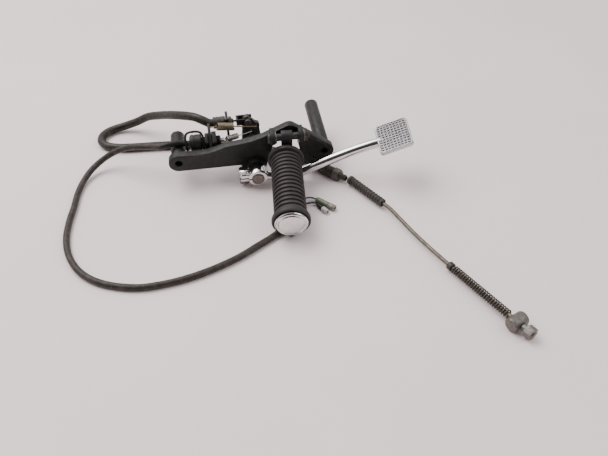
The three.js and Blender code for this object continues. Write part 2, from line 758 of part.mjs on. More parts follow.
// ---------------------------------------------------------------- cable and lead on the floor
// Their routes are points in the floor's own frame.
bracket.updateMatrixWorld(true);
const onFloor = (p) => v3(p).applyMatrix4(bracket.matrixWorld).toArray();

const CABLE_ROUTE = [
  [-93, 52, 55.6],
  [-102, 56, 57.3],
  [-113, 62.5, 55.4],
  [-125, 71.5, 51],
  [-139, 85, 43.5],
  [-155, 100, 34],
  [-172, 112, 25],
  [-189, 118, 14.5],
  [-206, 119, 8],
  [-218, 116, 5.9],
  [-227, 108.5, 5.4],
  [-230.5, 98, 5.4],
  [-228, 87, 5.4],
  [-219, 78.5, 5.4],
  [-206, 75, 5.4],
  [-190, 74.5, 5.4],
  [-170, 76, 5.4],
  [-138, 77.5, 5.4],
  [-100, 77, 5.4],
  [-60, 74, 5.4],
  [-25, 64, 5.4],
  [8, 47.5, 5.4],
  [30, 32, 6.4],
];
const FERRULE_AT = [41.7, 22.9, 6.5];
const FERRULE_TO = [66.7, 1.9, 6.5]; // the way the ferrule, nut and neck point
const cablePath = [
  onFloor(onCable(ferruleRear + 9 - GAP)),
  onFloor(onCable(ferruleRear)),
  onFloor(onCable(ferruleRear - 3.5)),
  ...CABLE_ROUTE,
  past(FERRULE_AT, FERRULE_TO, -GAP),
];
piece(root, "brake_cable", "vinyl", bar(cablePath, CABLE_D, CABLE_D, 72, 8));

const onFerrule = (d) => past(FERRULE_AT, FERRULE_TO, d);
const NECK_D = 7;
const LOWER_FERRULE_L = 19;
const neckEnd2 = LOWER_FERRULE_L + 17;
piece(
  root,
  "lower_ferrule",
  "steel",
  cut(
    join(rod(12.4, onFerrule(0), onFerrule(LOWER_FERRULE_L)), rod(NECK_D, onFerrule(1), onFerrule(neckEnd2), 16)),
    rod(WIRE_D + 2 * GAP, onFerrule(8), onFerrule(neckEnd2 + 1), 12),
  ),
);
const lowerNut = LOWER_FERRULE_L + GAP;
piece(
  root,
  "lower_lock_nut",
  "steel",
  hexNut(12.6, NECK_D + 2 * GAP, onFerrule(lowerNut), onFerrule(lowerNut + 7.6), Math.PI / 6),
);

// rubber boot, then the bare wire with its spring, barrel and adjusting nut, which all
// slide along the boot's axis when the pedal pulls the wire
const BOOT_AT = [73.2, -2, 6.6];
const BOOT_END = [106, -45.5, 6.4];
const bootLength = distance(BOOT_AT, BOOT_END);
piece(root, "rubber_boot", "rubber", ribbed(10, 7.6, WIRE_D + 1.2, 12, BOOT_AT, BOOT_END));

const COLLAR_AT = [159, -139, 5.8];
const ROD_END = [216, -230, 7.8];
const onRod = (d) => past(COLLAR_AT, ROD_END, d);
const COLLAR_L = 5;
const SPRING_L = 72;
const barrelMid = COLLAR_L + SPRING_L + 8;
const BARREL_D = 13.5;
const BARREL_L = 18;
const rodLength = barrelMid + 19;
const WIRE_ROUTE = [
  past(BOOT_AT, BOOT_END, 14),
  past(BOOT_AT, BOOT_END, bootLength * 0.6),
  BOOT_END,
  past(BOOT_AT, BOOT_END, bootLength + 9.5),
  [119.5, -67, 5.6],
  [133, -93, 4.8],
  [146.5, -117, 4.9],
  onRod(-GAP),
];
piece(root, "inner_wire", "wire", bar(WIRE_ROUTE, WIRE_D, WIRE_D, 16, 8));
piece(root, "spring_collar", "steel", rod(8.4, onRod(0), onRod(COLLAR_L), 16));
piece(
  root,
  "threaded_rod",
  "wire",
  rod(4, onRod(COLLAR_L + GAP), onRod(rodLength), 10),
);
piece(
  root,
  "cable_spring",
  "worn",
  ribbed(8.6, 6.2, 5, 24, onRod(COLLAR_L + GAP), onRod(COLLAR_L + SPRING_L), 10),
);
const along = v3(ROD_END).sub(v3(COLLAR_AT)).setZ(0).normalize();
const across = new THREE.Vector3(-along.y, along.x, 0);
const barrelAt = (d) => v3(onRod(barrelMid)).addScaledVector(across, d).toArray();
piece(
  root,
  "barrel",
  "steel",
  cut(
    turned(
      [
        [0, 0],
        [BARREL_D / 2 - 1.5, 0],
        [BARREL_D / 2, 1.5],
        [BARREL_D / 2, BARREL_L - 1.5],
        [BARREL_D / 2 - 1.5, BARREL_L],
        [0, BARREL_L],
      ],
      barrelAt(-BARREL_L / 2),
      barrelAt(BARREL_L / 2),
    ),
    rod(4 + 2 * GAP, onRod(barrelMid - 10), onRod(barrelMid + 10), 12),
  ),
);
const nutFrom = barrelMid + BARREL_D / 2 + GAP;
piece(
  root,
  "adjuster_nut",
  "steel",
  cut(
    join(
      rod(7.6, onRod(nutFrom), onRod(nutFrom + 4.5), 16),
      rod(12.4, onRod(nutFrom + 4), onRod(nutFrom + 11), 6),
    ),
    rod(4 + 2 * GAP, onRod(nutFrom - 1), onRod(nutFrom + 12), 12),
  ),
);

// switch lead: a sleeve over two wires, each ending in a bullet connector
const LEAD_ROUTE = [
  [-152, 24.5, 39.5],
  [-168, 30.5, 36],
  [-185, 37.5, 29.5],
  [-201, 41, 21],
  [-215, 37.5, 13.5],
  [-225.5, 27, 8.2],
  [-231.5, 10, 5],
  [-233, -12, 3.8],
  [-231, -36, 3.8],
  [-229.5, -62, 3.8],
  [-225, -88, 3.8],
  [-215, -113, 3.8],
  [-199, -134, 3.8],
  [-180, -147, 3.8],
  [-158, -154, 3.8],
  [-136, -156, 3.8],
  [-113, -152, 3.8],
  [-90, -144.5, 3.8],
  [-67, -133, 3.8],
  [-44, -118, 3.8],
  [-26, -102.5, 3.7],
  [-11, -89, 3.6],
  [3, -71.5, 3.7],
];
const LEAD_END = [12, -58, 4.2];
const leadPath = [
  [bodyRear - 1.1, SWITCH_Y, SWITCH_Z],
  [7, 22, 10.2],
  [0, 21.5, 11.9],
  [-8, 20.8, 11.6],
  [-18, 20.5, 9.8],
].map(onFloor);
piece(root, "switch_lead", "vinyl", bar([...leadPath, ...LEAD_ROUTE, LEAD_END], LEAD_D, LEAD_D, 76, 8));
const WIRE_GAUGE = 2.2;
const leadOut = (side) => [LEAD_END[0] + 0.4 + side * 1.1, LEAD_END[1] + 0.6 - side * 0.8, LEAD_END[2]];
const GREEN_AT = [34, -32.2, 3.6];
const GREEN_TO = [54, -48.2, 3.6];
const BLACK_AT = [35.4, -41, 3.2];
const BLACK_TO = [45.7, -53.5, 3.2];
const intoPlug = (at, to) => [past(at, to, -4), past(at, to, -GAP)];
const blueRoute = [leadOut(-1), [15, -47, 5], [18.5, -38, 5.6], [24, -30.5, 4.8], ...intoPlug(GREEN_AT, GREEN_TO)];
const blackRoute = [leadOut(1), [19, -47.5, 4.4], [24, -39.5, 4.2], ...intoPlug(BLACK_AT, BLACK_TO)];
piece(root, "blue_wire", "blue", bar(blueRoute, WIRE_GAUGE, WIRE_GAUGE, 14, 6));
piece(root, "black_wire", "plastic", bar(blackRoute, WIRE_GAUGE, WIRE_GAUGE, 14, 6));
const capped = (d, from, to, l0, l1) => rod(d, past(from, to, l0), past(from, to, l1), 12);
piece(root, "green_connector", "green", capped(6.8, GREEN_AT, GREEN_TO, 0, distance(GREEN_AT, GREEN_TO)));
piece(root, "black_connector", "plastic", capped(5, BLACK_AT, BLACK_TO, 0, 8));
piece(
  root,
  "connector_sleeve",
  "blue",
  capped(5.6, BLACK_AT, BLACK_TO, 8 + GAP, distance(BLACK_AT, BLACK_TO)),
);

// the middle of the bracket, peg and pedal stands over the origin
root.position.set(-4.4, -8.35, -0.1);

export default root;
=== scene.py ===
# %% [markdown]
# A motorcycle footrest bracket with its rear brake pedal, stop-light switch, brake cable and
# switch lead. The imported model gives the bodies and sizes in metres. This lesson loads it, then
# builds a finer looking piece over each plain solid and gives every surface its own finish.

# %% Load the frame
import json
import math
import random

import bmesh
import bpy
from mathutils import Matrix, Vector

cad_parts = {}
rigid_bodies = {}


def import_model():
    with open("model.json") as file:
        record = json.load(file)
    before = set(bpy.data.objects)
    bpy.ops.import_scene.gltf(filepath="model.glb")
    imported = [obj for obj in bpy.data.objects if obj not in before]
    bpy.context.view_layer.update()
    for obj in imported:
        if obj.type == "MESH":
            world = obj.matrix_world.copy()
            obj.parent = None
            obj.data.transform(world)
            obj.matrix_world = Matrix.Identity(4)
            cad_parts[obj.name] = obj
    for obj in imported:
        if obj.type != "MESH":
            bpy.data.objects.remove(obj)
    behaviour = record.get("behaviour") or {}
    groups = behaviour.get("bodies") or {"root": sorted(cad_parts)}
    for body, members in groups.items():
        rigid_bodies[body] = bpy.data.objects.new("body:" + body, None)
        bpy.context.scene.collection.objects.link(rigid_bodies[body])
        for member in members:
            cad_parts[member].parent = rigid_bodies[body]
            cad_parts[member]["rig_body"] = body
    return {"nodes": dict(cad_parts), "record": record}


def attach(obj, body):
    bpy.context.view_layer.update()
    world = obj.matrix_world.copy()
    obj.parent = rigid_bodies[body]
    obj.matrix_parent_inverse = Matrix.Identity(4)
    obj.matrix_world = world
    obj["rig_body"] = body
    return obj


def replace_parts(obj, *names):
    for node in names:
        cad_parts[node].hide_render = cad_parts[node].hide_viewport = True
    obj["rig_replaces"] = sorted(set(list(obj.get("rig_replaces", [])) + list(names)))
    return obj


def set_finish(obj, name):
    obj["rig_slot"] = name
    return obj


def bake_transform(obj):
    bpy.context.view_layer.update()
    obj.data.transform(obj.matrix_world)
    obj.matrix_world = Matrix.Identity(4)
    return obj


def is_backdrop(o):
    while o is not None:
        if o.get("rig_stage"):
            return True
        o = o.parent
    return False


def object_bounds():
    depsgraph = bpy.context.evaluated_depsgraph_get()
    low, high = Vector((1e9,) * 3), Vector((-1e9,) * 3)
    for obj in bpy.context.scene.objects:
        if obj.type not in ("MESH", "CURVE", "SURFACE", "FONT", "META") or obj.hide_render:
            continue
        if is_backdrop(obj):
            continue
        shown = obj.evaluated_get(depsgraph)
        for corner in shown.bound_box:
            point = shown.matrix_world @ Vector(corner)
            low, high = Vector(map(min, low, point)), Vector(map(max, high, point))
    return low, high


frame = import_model()
cad_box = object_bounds()

# %% [markdown]
# Positions are written the way a workshop drawing gives them: in millimetres, some in the
# bracket's own frame (x forward, y inboard, z up from the rear mounting hole) and some on the
# floor. Two small functions turn both into metres in the model's frame.

# %% Frames of the bracket and of the floor
MM = 0.001
HEADING = math.radians(8.5)
TILT = math.radians(6)
CENTRE = Vector((-4.4, -8.35, -0.1))
BRACKET_AT = Vector((-116.7, 1.1, 32))
BRACKET_TURN = Matrix.Rotation(HEADING, 3, "Z") @ Matrix.Rotation(TILT, 3, "X")


def on_floor(point):
    """A point of the floor drawing, in metres."""
    return (Vector(point) + CENTRE) * MM


def on_bracket(point):
    """A point of the bracket drawing, in metres."""
    return on_floor(BRACKET_TURN @ Vector(point) + BRACKET_AT)


def beyond(a, b, distance):
    """The point a distance from a on the way to b, in the unit the two points are in."""
    a, b = Vector(a), Vector(b)
    return a + (b - a).normalized() * distance


print("rear hole:", [round(c, 4) for c in on_bracket((0, 0, 0))])

# %% [markdown]
# The camera looks down at the unit from the front of a table, a little turned about its own
# axis, as a hand-held one is. It is made first because the cords have to lie in its view.

# %% Camera
CAMERA_AT = Vector((20.0, -540.0, 425.08))
CAMERA_DOWN = math.radians(42.4)
CAMERA_ROLL = math.radians(-1.5)

camera_data = bpy.data.cameras.new("camera")
camera_data.sensor_width = 36
camera_data.lens = 36 * 600 / 608
camera_data.clip_start = 0.01
camera = bpy.data.objects.new("camera", camera_data)
bpy.context.collection.objects.link(camera)
camera.matrix_world = (
    Matrix.Translation(on_floor(CAMERA_AT))
    @ Matrix.Rotation(math.pi / 2 - CAMERA_DOWN, 4, "X")
    @ Matrix.Rotation(CAMERA_ROLL, 4, "Z")
)
bpy.context.scene.camera = camera
print("lens:", round(camera_data.lens, 2), "mm")

# %% [markdown]
# Every finish starts from the same short recipe: a noise in Object coordinates picks between a
# few colours, a finer noise varies the roughness, and a bump gives the surface its grain. Worn
# edges, and the painted highlights on the lever's and the peg rubber's edges, come from a Bevel node: where
# its rounded normal leaves the true one, there is an edge.

# %% Tools for making materials
def node(tree, kind, inputs=None, **settings):
    """Adds a shader or geometry node, with its settings and its input values or links."""
    made = tree.nodes.new(kind)
    for name, value in settings.items():
        setattr(made, name, value)
    for name, value in (inputs or {}).items():
        if isinstance(value, bpy.types.NodeSocket):
            tree.links.new(value, made.inputs[name])
        else:
            made.inputs[name].default_value = value
    return made


def ramp(tree, factor, stops):
    """A colour ramp with (position, colour) stops; a single number is a grey."""
    made = node(tree, "ShaderNodeValToRGB", {"Fac": factor})
    band = made.color_ramp
    for i, (position, colour) in enumerate(stops):
        stop = band.elements[i] if i < 2 else band.elements.new(position)
        stop.position = position
        grey = isinstance(colour, (int, float))
        stop.color = (colour, colour, colour, 1) if grey else (*colour, 1)
    return made.outputs["Color"]


def mix(tree, factor, a, b, kind="MIX"):
    """Mixes two colours."""
    made = node(tree, "ShaderNodeMix", data_type="RGBA", blend_type=kind)
    for socket, value in ((0, factor), (6, a), (7, b)):
        if isinstance(value, bpy.types.NodeSocket):
            tree.links.new(value, made.inputs[socket])
        else:
            made.inputs[socket].default_value = value if socket == 0 else (*value, 1)
    return made.outputs[2]


def noise(tree, at, scale, detail=4, rough=0.55, distortion=0.0):
    """A noise in metres: scale 1000 has features of about a millimetre."""
    inputs = {"Vector": at, "Scale": scale, "Detail": detail, "Roughness": rough}
    inputs["Distortion"] = distortion
    return node(tree, "ShaderNodeTexNoise", inputs).outputs["Fac"]


def edge_mask(tree, radius, low=0.02, high=0.35):
    """White on edges rounder than the surface, black on the flats."""
    bevel = node(tree, "ShaderNodeBevel", {"Radius": radius}, samples=4)
    true = node(tree, "ShaderNodeNewGeometry")
    inputs = {0: bevel.outputs["Normal"], 1: true.outputs["Normal"]}
    dot = node(tree, "ShaderNodeVectorMath", inputs, operation="DOT_PRODUCT")
    spread = {"Value": dot.outputs["Value"], "From Min": 1 - low, "From Max": 1 - high}
    return node(tree, "ShaderNodeMapRange", spread).outputs["Result"]


def upward(tree, low=0.35, high=0.95):
    """White on faces that look up, where dust settles."""
    true = node(tree, "ShaderNodeNewGeometry")
    parts = node(tree, "ShaderNodeSeparateXYZ", {"Vector": true.outputs["Normal"]})
    spread = {"Value": parts.outputs["Z"], "From Min": low, "From Max": high}
    return node(tree, "ShaderNodeMapRange", spread).outputs["Result"]


def finish_of(name, stops, scale, rough, bump=(0.1, 2500, 0.0002), metallic=0.0, **more):
    """The shared recipe. rough is (lowest, highest); bump is (strength, scale, depth in m)."""
    material = bpy.data.materials.new(name)
    material.use_nodes = True
    tree = material.node_tree
    tree.nodes.clear()
    at = node(tree, "ShaderNodeTexCoord").outputs["Object"]
    patches = noise(tree, at, scale, 5, 0.6, more.get("swirl", 0.0))
    colour = ramp(tree, patches, stops)
    fine = noise(tree, at, bump[1], 3)
    surface = node(tree, "ShaderNodeBsdfPrincipled")
    surface.inputs["Metallic"].default_value = metallic
    for socket, value in more.get("sockets", {}).items():
        surface.inputs[socket].default_value = value
    for kind, tint, strength in more.get("layers", ()):
        mask = edge_mask(tree, 0.0007) if kind == "edges" else upward(tree)
        broken = noise(tree, at, 260, 6, 0.7)
        spread = ramp(tree, broken, [(0.35, 0.0), (0.65, strength)])
        shown = node(tree, "ShaderNodeMath", {0: mask, 1: spread}, operation="MULTIPLY")
        colour = mix(tree, shown.outputs["Value"], colour, tint)
    if "specks" in more:
        tint, speck_scale, level = more["specks"]
        spots = ramp(tree, noise(tree, at, speck_scale, 2), [(level, 0.0), (level + 0.04, 1.0)])
        colour = mix(tree, spots, colour, tint)
    # Darkens the colour within a reach of a point: painted shade. The switch lead uses it where it runs over
    # the rear mount tube.
    if "near" in more:
        point, reach, tint = more["near"]
        away = node(tree, "ShaderNodeVectorMath", {0: at, 1: point}, operation="DISTANCE")
        spread = {"Value": away.outputs["Value"], "From Min": reach, "From Max": reach - 0.004}
        colour = mix(tree, node(tree, "ShaderNodeMapRange", spread).outputs["Result"], colour, tint)
    tree.links.new(colour, surface.inputs["Base Color"])
    shine = {"Value": noise(tree, at, scale * 2.3, 4), "From Min": 0.3, "From Max": 0.7}
    shine["To Min"], shine["To Max"] = rough
    level = node(tree, "ShaderNodeMapRange", shine).outputs["Result"]
    tree.links.new(level, surface.inputs["Roughness"])
    relief = {"Height": fine, "Strength": bump[0], "Distance": bump[2]}
    tree.links.new(node(tree, "ShaderNodeBump", relief).outputs["Normal"], surface.inputs["Normal"])
    out = node(tree, "ShaderNodeOutputMaterial")
    tree.links.new(surface.outputs["BSDF"], out.inputs["Surface"])
    return material


# %% [markdown]
# The finishes of this unit. The bracket is satin black paint, dusty on top and rubbed to grey on its
# edges. The pedal, pinch bolt and end cap are chrome with faint dulling. Small fittings are
# zinc gone grey, springs and shaft carry rust, and the two sheaths are aged vinyl with olive and
# brown rubbed patches. The peg's rubber is dark grey, with lighter rib edges that are a painted highlight.

# %% Finishes
satin_black = finish_of(
    "satin_black", [(0.3, (0.010, 0.009, 0.010)), (0.7, (0.019, 0.018, 0.018))], 90, (0.36, 0.58),
    (0.25, 1800, 0.00015),
    layers=[("dust", (0.07, 0.063, 0.061), 0.28), ("edges", (0.09, 0.083, 0.08), 0.45)],
    specks=((0.13, 0.115, 0.10), 900, 0.74), sockets={"Specular IOR Level": 0.27},
)
# Lever paint: black with strong light grey edges, a painted highlight along the lever's front edge made with
# the edge-wear layer.
worn_paint_edge_highlight = finish_of(
    "worn_paint_edge_highlight", [(0.3, (0.012, 0.011, 0.011)), (0.62, (0.03, 0.027, 0.025)), (0.8, (0.1, 0.09, 0.08))], 220,
    (0.36, 0.6), (0.3, 1800, 0.0002), layers=[("edges", (0.42, 0.4, 0.38), 1.0)],
)
chrome = finish_of(
    "chrome", [(0.35, (0.78, 0.77, 0.78)), (0.75, (0.60, 0.575, 0.565))], 120, (0.05, 0.16),
    (0.06, 1100, 0.0001), 1.0, specks=((0.22, 0.17, 0.14), 1500, 0.72),
)
rubbed_chrome = finish_of(
    "rubbed_chrome", [(0.35, (0.60, 0.585, 0.60)), (0.75, (0.46, 0.44, 0.445))], 300, (0.2, 0.36),
    (0.15, 1600, 0.0001), 1.0, specks=((0.2, 0.16, 0.14), 1300, 0.72),
)
dull_zinc = finish_of(
    "dull_zinc", [(0.3, (0.10, 0.092, 0.083)), (0.55, (0.19, 0.178, 0.16)), (0.75, (0.13, 0.108, 0.085))],
    400, (0.34, 0.6), (0.3, 2600, 0.0002), 0.8,
    layers=[("edges", (0.34, 0.33, 0.31), 0.6)], specks=((0.09, 0.055, 0.03), 1100, 0.66),
)
bright_zinc = finish_of(
    "bright_zinc", [(0.3, (0.40, 0.40, 0.38)), (0.7, (0.60, 0.59, 0.56))], 500, (0.22, 0.42),
    (0.2, 2600, 0.0002), 0.95, specks=((0.16, 0.11, 0.07), 1300, 0.68),
)
dark_steel = finish_of(
    "dark_steel", [(0.3, (0.03, 0.027, 0.024)), (0.65, (0.075, 0.068, 0.06))], 380, (0.35, 0.6),
    (0.3, 2400, 0.0002), 0.6, layers=[("edges", (0.28, 0.265, 0.245), 0.6)],
    specks=((0.12, 0.085, 0.055), 900, 0.68),
)
worn_shaft = finish_of(
    "worn_shaft", [(0.3, (0.10, 0.078, 0.06)), (0.5, (0.22, 0.19, 0.165)), (0.72, (0.30, 0.27, 0.24))],
    420, (0.4, 0.7), (0.45, 2300, 0.0003), 0.6, specks=((0.09, 0.045, 0.022), 700, 0.62),
)
tan_spring = finish_of(
    "tan_spring", [(0.3, (0.10, 0.078, 0.05)), (0.5, (0.24, 0.195, 0.13)), (0.72, (0.36, 0.31, 0.23))],
    520, (0.38, 0.62), (0.35, 2300, 0.0002), 0.6, specks=((0.10, 0.05, 0.025), 900, 0.64),
)
dark_spring = finish_of(
    "dark_spring", [(0.3, (0.045, 0.039, 0.034)), (0.65, (0.13, 0.115, 0.10))], 600, (0.35, 0.55),
    (0.25, 2500, 0.0002), 0.8, layers=[("edges", (0.27, 0.25, 0.225), 0.5)],
)
olive_drab = finish_of(
    "olive_drab", [(0.3, (0.035, 0.033, 0.024)), (0.7, (0.075, 0.069, 0.05))], 300, (0.4, 0.6),
    (0.3, 2000, 0.0002), 0.5, layers=[("edges", (0.24, 0.23, 0.2), 0.5)],
)
bearing_bronze = finish_of(
    "bearing_bronze", [(0.3, (0.35, 0.24, 0.12)), (0.7, (0.5, 0.37, 0.2))], 400, (0.3, 0.5),
    (0.2, 2500, 0.0001), 0.9,
)
peg_rubber = finish_of(
    "peg_rubber", [(0.3, (0.021, 0.018, 0.017)), (0.7, (0.035, 0.031, 0.029))], 110, (0.45, 0.65),
    (0.35, 1600, 0.00025),
    # The light grey edge layer on the peg rubber is a painted highlight on the rib edges.
    layers=[("dust", (0.065, 0.057, 0.053), 0.28), ("edges", (0.055, 0.048, 0.045), 0.45)],
    sockets={"Specular IOR Level": 0.3},
)
boot_rubber = finish_of(
    "boot_rubber", [(0.3, (0.018, 0.015, 0.013)), (0.7, (0.038, 0.031, 0.026))], 300, (0.45, 0.65),
    (0.3, 1800, 0.0002), layers=[("edges", (0.10, 0.088, 0.08), 0.6)],
)
cable_vinyl = finish_of(
    "cable_vinyl",
    [(0.28, (0.010, 0.009, 0.008)), (0.52, (0.021, 0.018, 0.014)), (0.7, (0.046, 0.042, 0.029))],
    150, (0.3, 0.55), (0.35, 900, 0.0003),
    layers=[("dust", (0.07, 0.063, 0.05), 0.22)], specks=((0.11, 0.10, 0.07), 420, 0.69),
    sockets={"Specular IOR Level": 0.3},
)
lead_vinyl = finish_of(
    "lead_vinyl",
    [(0.28, (0.013, 0.010, 0.009)), (0.5, (0.027, 0.021, 0.018)), (0.72, (0.062, 0.049, 0.038))],
    190, (0.34, 0.58), (0.5, 700, 0.0004),
    layers=[("dust", (0.085, 0.068, 0.057), 0.25)], specks=((0.15, 0.12, 0.09), 520, 0.7),
    # near= paints shade on the lead within 34 mm of the switch, where it crosses the rear mount tube.
    sockets={"Specular IOR Level": 0.3}, near=(on_bracket((14, 22, 9)), 0.034, (0.012, 0.012, 0.011)),
)
steel_wire = finish_of(
    "steel_wire", [(0.3, (0.07, 0.062, 0.046)), (0.55, (0.145, 0.13, 0.10)), (0.75, (0.21, 0.19, 0.15))],
    260, (0.35, 0.55), (0.35, 2500, 0.0002), 0.7,
)
black_moulding = finish_of(
    "black_moulding", [(0.3, (0.010, 0.010, 0.0095)), (0.7, (0.022, 0.021, 0.019))], 200, (0.35, 0.6),
    (0.2, 2000, 0.0002), layers=[("dust", (0.06, 0.056, 0.048), 0.22)],
    sockets={"Specular IOR Level": 0.3},
)
green_moulding = finish_of(
    "green_moulding", [(0.3, (0.105, 0.13, 0.075)), (0.7, (0.16, 0.19, 0.115))], 260, (0.3, 0.45),
    (0.15, 1500, 0.0002), layers=[("edges", (0.34, 0.37, 0.29), 0.4)],
)
grey_moulding = finish_of(
    "grey_moulding", [(0.3, (0.16, 0.145, 0.115)), (0.7, (0.25, 0.235, 0.2))], 300, (0.2, 0.35),
    (0.1, 1500, 0.0001),
)
clear_moulding = finish_of(
    "clear_moulding", [(0.3, (0.36, 0.34, 0.33)), (0.7, (0.52, 0.49, 0.48))], 300, (0.15, 0.3),
    (0.1, 1500, 0.0001),
)
blue_skin = finish_of(
    "blue_skin", [(0.3, (0.035, 0.07, 0.105)), (0.7, (0.06, 0.12, 0.17))], 400, (0.3, 0.45),
    (0.1, 1500, 0.0001),
)
print("finishes:", len(bpy.data.materials))

# %% [markdown]
# Helpers for shapes. A turned shape is a profile spun round a line, as on a lathe. Its mesh is
# closed by hand, so its faces point outwards and no pole is left open. `settle` gives a finished
# mesh its finish, its body, the solid it stands for and its material slot.

# %% Shape helpers
def settle(piece, material, body, nodes=(), slot=None, sharp=35):
    """Smooths a mesh object, gives it its finish, and ties it to its body and its solids."""
    if piece.type == "MESH":
        piece.data.materials.clear()
        piece.data.materials.append(material)
        piece.data.shade_smooth()
        piece.data.set_sharp_from_angle(angle=math.radians(sharp))
    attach(piece, body)
    if nodes:
        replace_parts(piece, *nodes)
    if slot:
        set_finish(piece, slot)
    return piece


def object_from(bm, name):
    """Turns a bmesh into an object with its faces outwards."""
    bmesh.ops.recalc_face_normals(bm, faces=bm.faces[:])
    mesh = bpy.data.meshes.new(name)
    bm.to_mesh(mesh)
    bm.free()
    made = bpy.data.objects.new(name, mesh)
    bpy.context.collection.objects.link(made)
    return made


def line_up(start, end):
    """The matrix that puts local +Z from start towards end, both in metres."""
    start, end = Vector(start), Vector(end)
    return Matrix.Translation(start) @ (end - start).to_track_quat("Z", "Y").to_matrix().to_4x4()


def turn(bm, profile, start, end, sides=64):
    """Adds a lathe shape to bm. profile is (radius, distance along) in mm from start to end; one
    that starts and ends off the axis closes on itself as a ring."""
    place = line_up(start, end)
    rings = []
    for radius, along in profile:
        if radius < 1e-6:
            rings.append([bm.verts.new(place @ Vector((0, 0, along * MM)))])
            continue
        ring = []
        for i in range(sides):
            angle = 2 * math.pi * i / sides
            spot = Vector((radius * math.cos(angle), radius * math.sin(angle), along)) * MM
            ring.append(bm.verts.new(place @ spot))
        rings.append(ring)
    pairs = list(zip(rings, rings[1:]))
    if len(rings[0]) > 1:
        pairs.append((rings[-1], rings[0]))
    for a, b in pairs:
        for i in range(sides):
            j = (i + 1) % sides
            corners = [a[i % len(a)], a[j % len(a)], b[j % len(b)], b[i % len(b)]]
            corners = list(dict.fromkeys(corners))
            if len(corners) > 2:
                bm.faces.new(corners)


def rounded_rod(diameter, length, edge=0.4, bore=0.0):
    """The profile of a rod or tube with rounded ends."""
    r = diameter / 2
    outer = [(r - edge, 0), (r - edge * 0.3, edge * 0.3), (r, edge)]
    outer += [(r, length - edge), (r - edge * 0.3, length - edge * 0.3), (r - edge, length)]
    if not bore:
        return [(0, 0)] + outer + [(0, length)]
    b = bore / 2
    inner = [(b + edge * 0.5, length), (b, length - edge * 0.5), (b, edge * 0.5), (b + edge * 0.5, 0)]
    return outer + inner


def turned(name, profile, start, end, material, body, nodes=(), slot=None, sides=64, sharp=35):
    """A lathe shape as a finished piece."""
    bm = bmesh.new()
    turn(bm, profile, start, end, sides)
    return settle(object_from(bm, name), material, body, nodes, slot, sharp)


def softened(name, source, material, slot, width=0.5, segments=2, sharp=40, extra=()):
    """A copy of a solid with its edges rounded off, standing for it."""
    bm = bmesh.new()
    bm.from_mesh(frame["nodes"][source].data)
    bmesh.ops.remove_doubles(bm, verts=bm.verts[:], dist=2e-6)
    bmesh.ops.dissolve_limit(bm, angle_limit=math.radians(2), verts=bm.verts[:], edges=bm.edges[:])
    made = object_from(bm, name)
    bevel = made.modifiers.new("round", "BEVEL")
    bevel.width = width * MM
    bevel.segments = segments
    bevel.limit_method = "ANGLE"
    bevel.angle_limit = math.radians(38)
    bevel.use_clamp_overlap = True
    bake(made)
    body = body_of(source)
    return settle(made, material, body, (source, *extra), slot, sharp)


def bake(piece):
    """Applies a piece's modifiers by taking its evaluated mesh."""
    bpy.context.view_layer.update()
    graph = bpy.context.evaluated_depsgraph_get()
    mesh = bpy.data.meshes.new_from_object(piece.evaluated_get(graph))
    piece.modifiers.clear()
    piece.data = mesh
    return piece


def body_of(source):
    """The body that a solid belongs to."""
    bodies = frame["record"]["behaviour"]["bodies"]
    return next(name for name, members in bodies.items() if source in members)


print("rod profile:", rounded_rod(10, 20))

# %% [markdown]
# The cords come next. Each is a curve of one open spline with a round section, so its centreline
# is exact and its length can be measured. A centripetal Catmull-Rom curve goes through every
# point of the route without loops, so the visible cord lies where its solid does.

# %% Cord helpers
def smooth_route(points, spacing=3.0):
    """Points about `spacing` mm apart on a centripetal Catmull-Rom curve through `points`."""
    points = [Vector(p) for p in points]
    first = points[0] * 2 - points[1]
    last = points[-1] * 2 - points[-2]
    padded = [first] + points + [last]
    route = []
    for p0, p1, p2, p3 in zip(padded, padded[1:], padded[2:], padded[3:]):
        t0 = 0.0
        t1 = t0 + (p1 - p0).length ** 0.5
        t2 = t1 + (p2 - p1).length ** 0.5
        t3 = t2 + (p3 - p2).length ** 0.5
        steps = max(2, round((p2 - p1).length / spacing))
        for i in range(steps):
            t = t1 + (t2 - t1) * i / steps
            a1 = p0 * ((t1 - t) / (t1 - t0)) + p1 * ((t - t0) / (t1 - t0))
            a2 = p1 * ((t2 - t) / (t2 - t1)) + p2 * ((t - t1) / (t2 - t1))
            a3 = p2 * ((t3 - t) / (t3 - t2)) + p3 * ((t - t2) / (t3 - t2))
            b1 = a1 * ((t2 - t) / (t2 - t0)) + a2 * ((t - t0) / (t2 - t0))
            b2 = a2 * ((t3 - t) / (t3 - t1)) + a3 * ((t - t1) / (t3 - t1))
            route.append(b1 * ((t2 - t) / (t2 - t1)) + b2 * ((t - t1) / (t2 - t1)))
    route.append(points[-1])
    return route


def laid_cord(name, route, diameter, material, body, nodes, slot, wobble=0.0, seed=1):
    """A cord through the route, in metres. wobble varies its thickness a little."""
    curve = bpy.data.curves.new(name, "CURVE")
    curve.dimensions = "3D"
    curve.bevel_depth = diameter / 2 * MM
    curve.bevel_resolution = 6
    curve.use_fill_caps = True
    spline = curve.splines.new("POLY")
    spline.points.add(len(route) - 1)
    rng = random.Random(seed)
    swing = [rng.uniform(-1, 1) for _ in route]
    for i, (spot, where) in enumerate(zip(spline.points, route)):
        spot.co = (*where, 1)
        near = swing[max(0, i - 2) : i + 3]
        spot.radius = 1 + wobble * sum(near) / len(near)
    curve.materials.append(material)
    made = bpy.data.objects.new(name, curve)
    bpy.context.collection.objects.link(made)
    return settle(made, material, body, nodes, slot)


def length_of(route):
    return sum((b - a).length for a, b in zip(route, route[1:]))


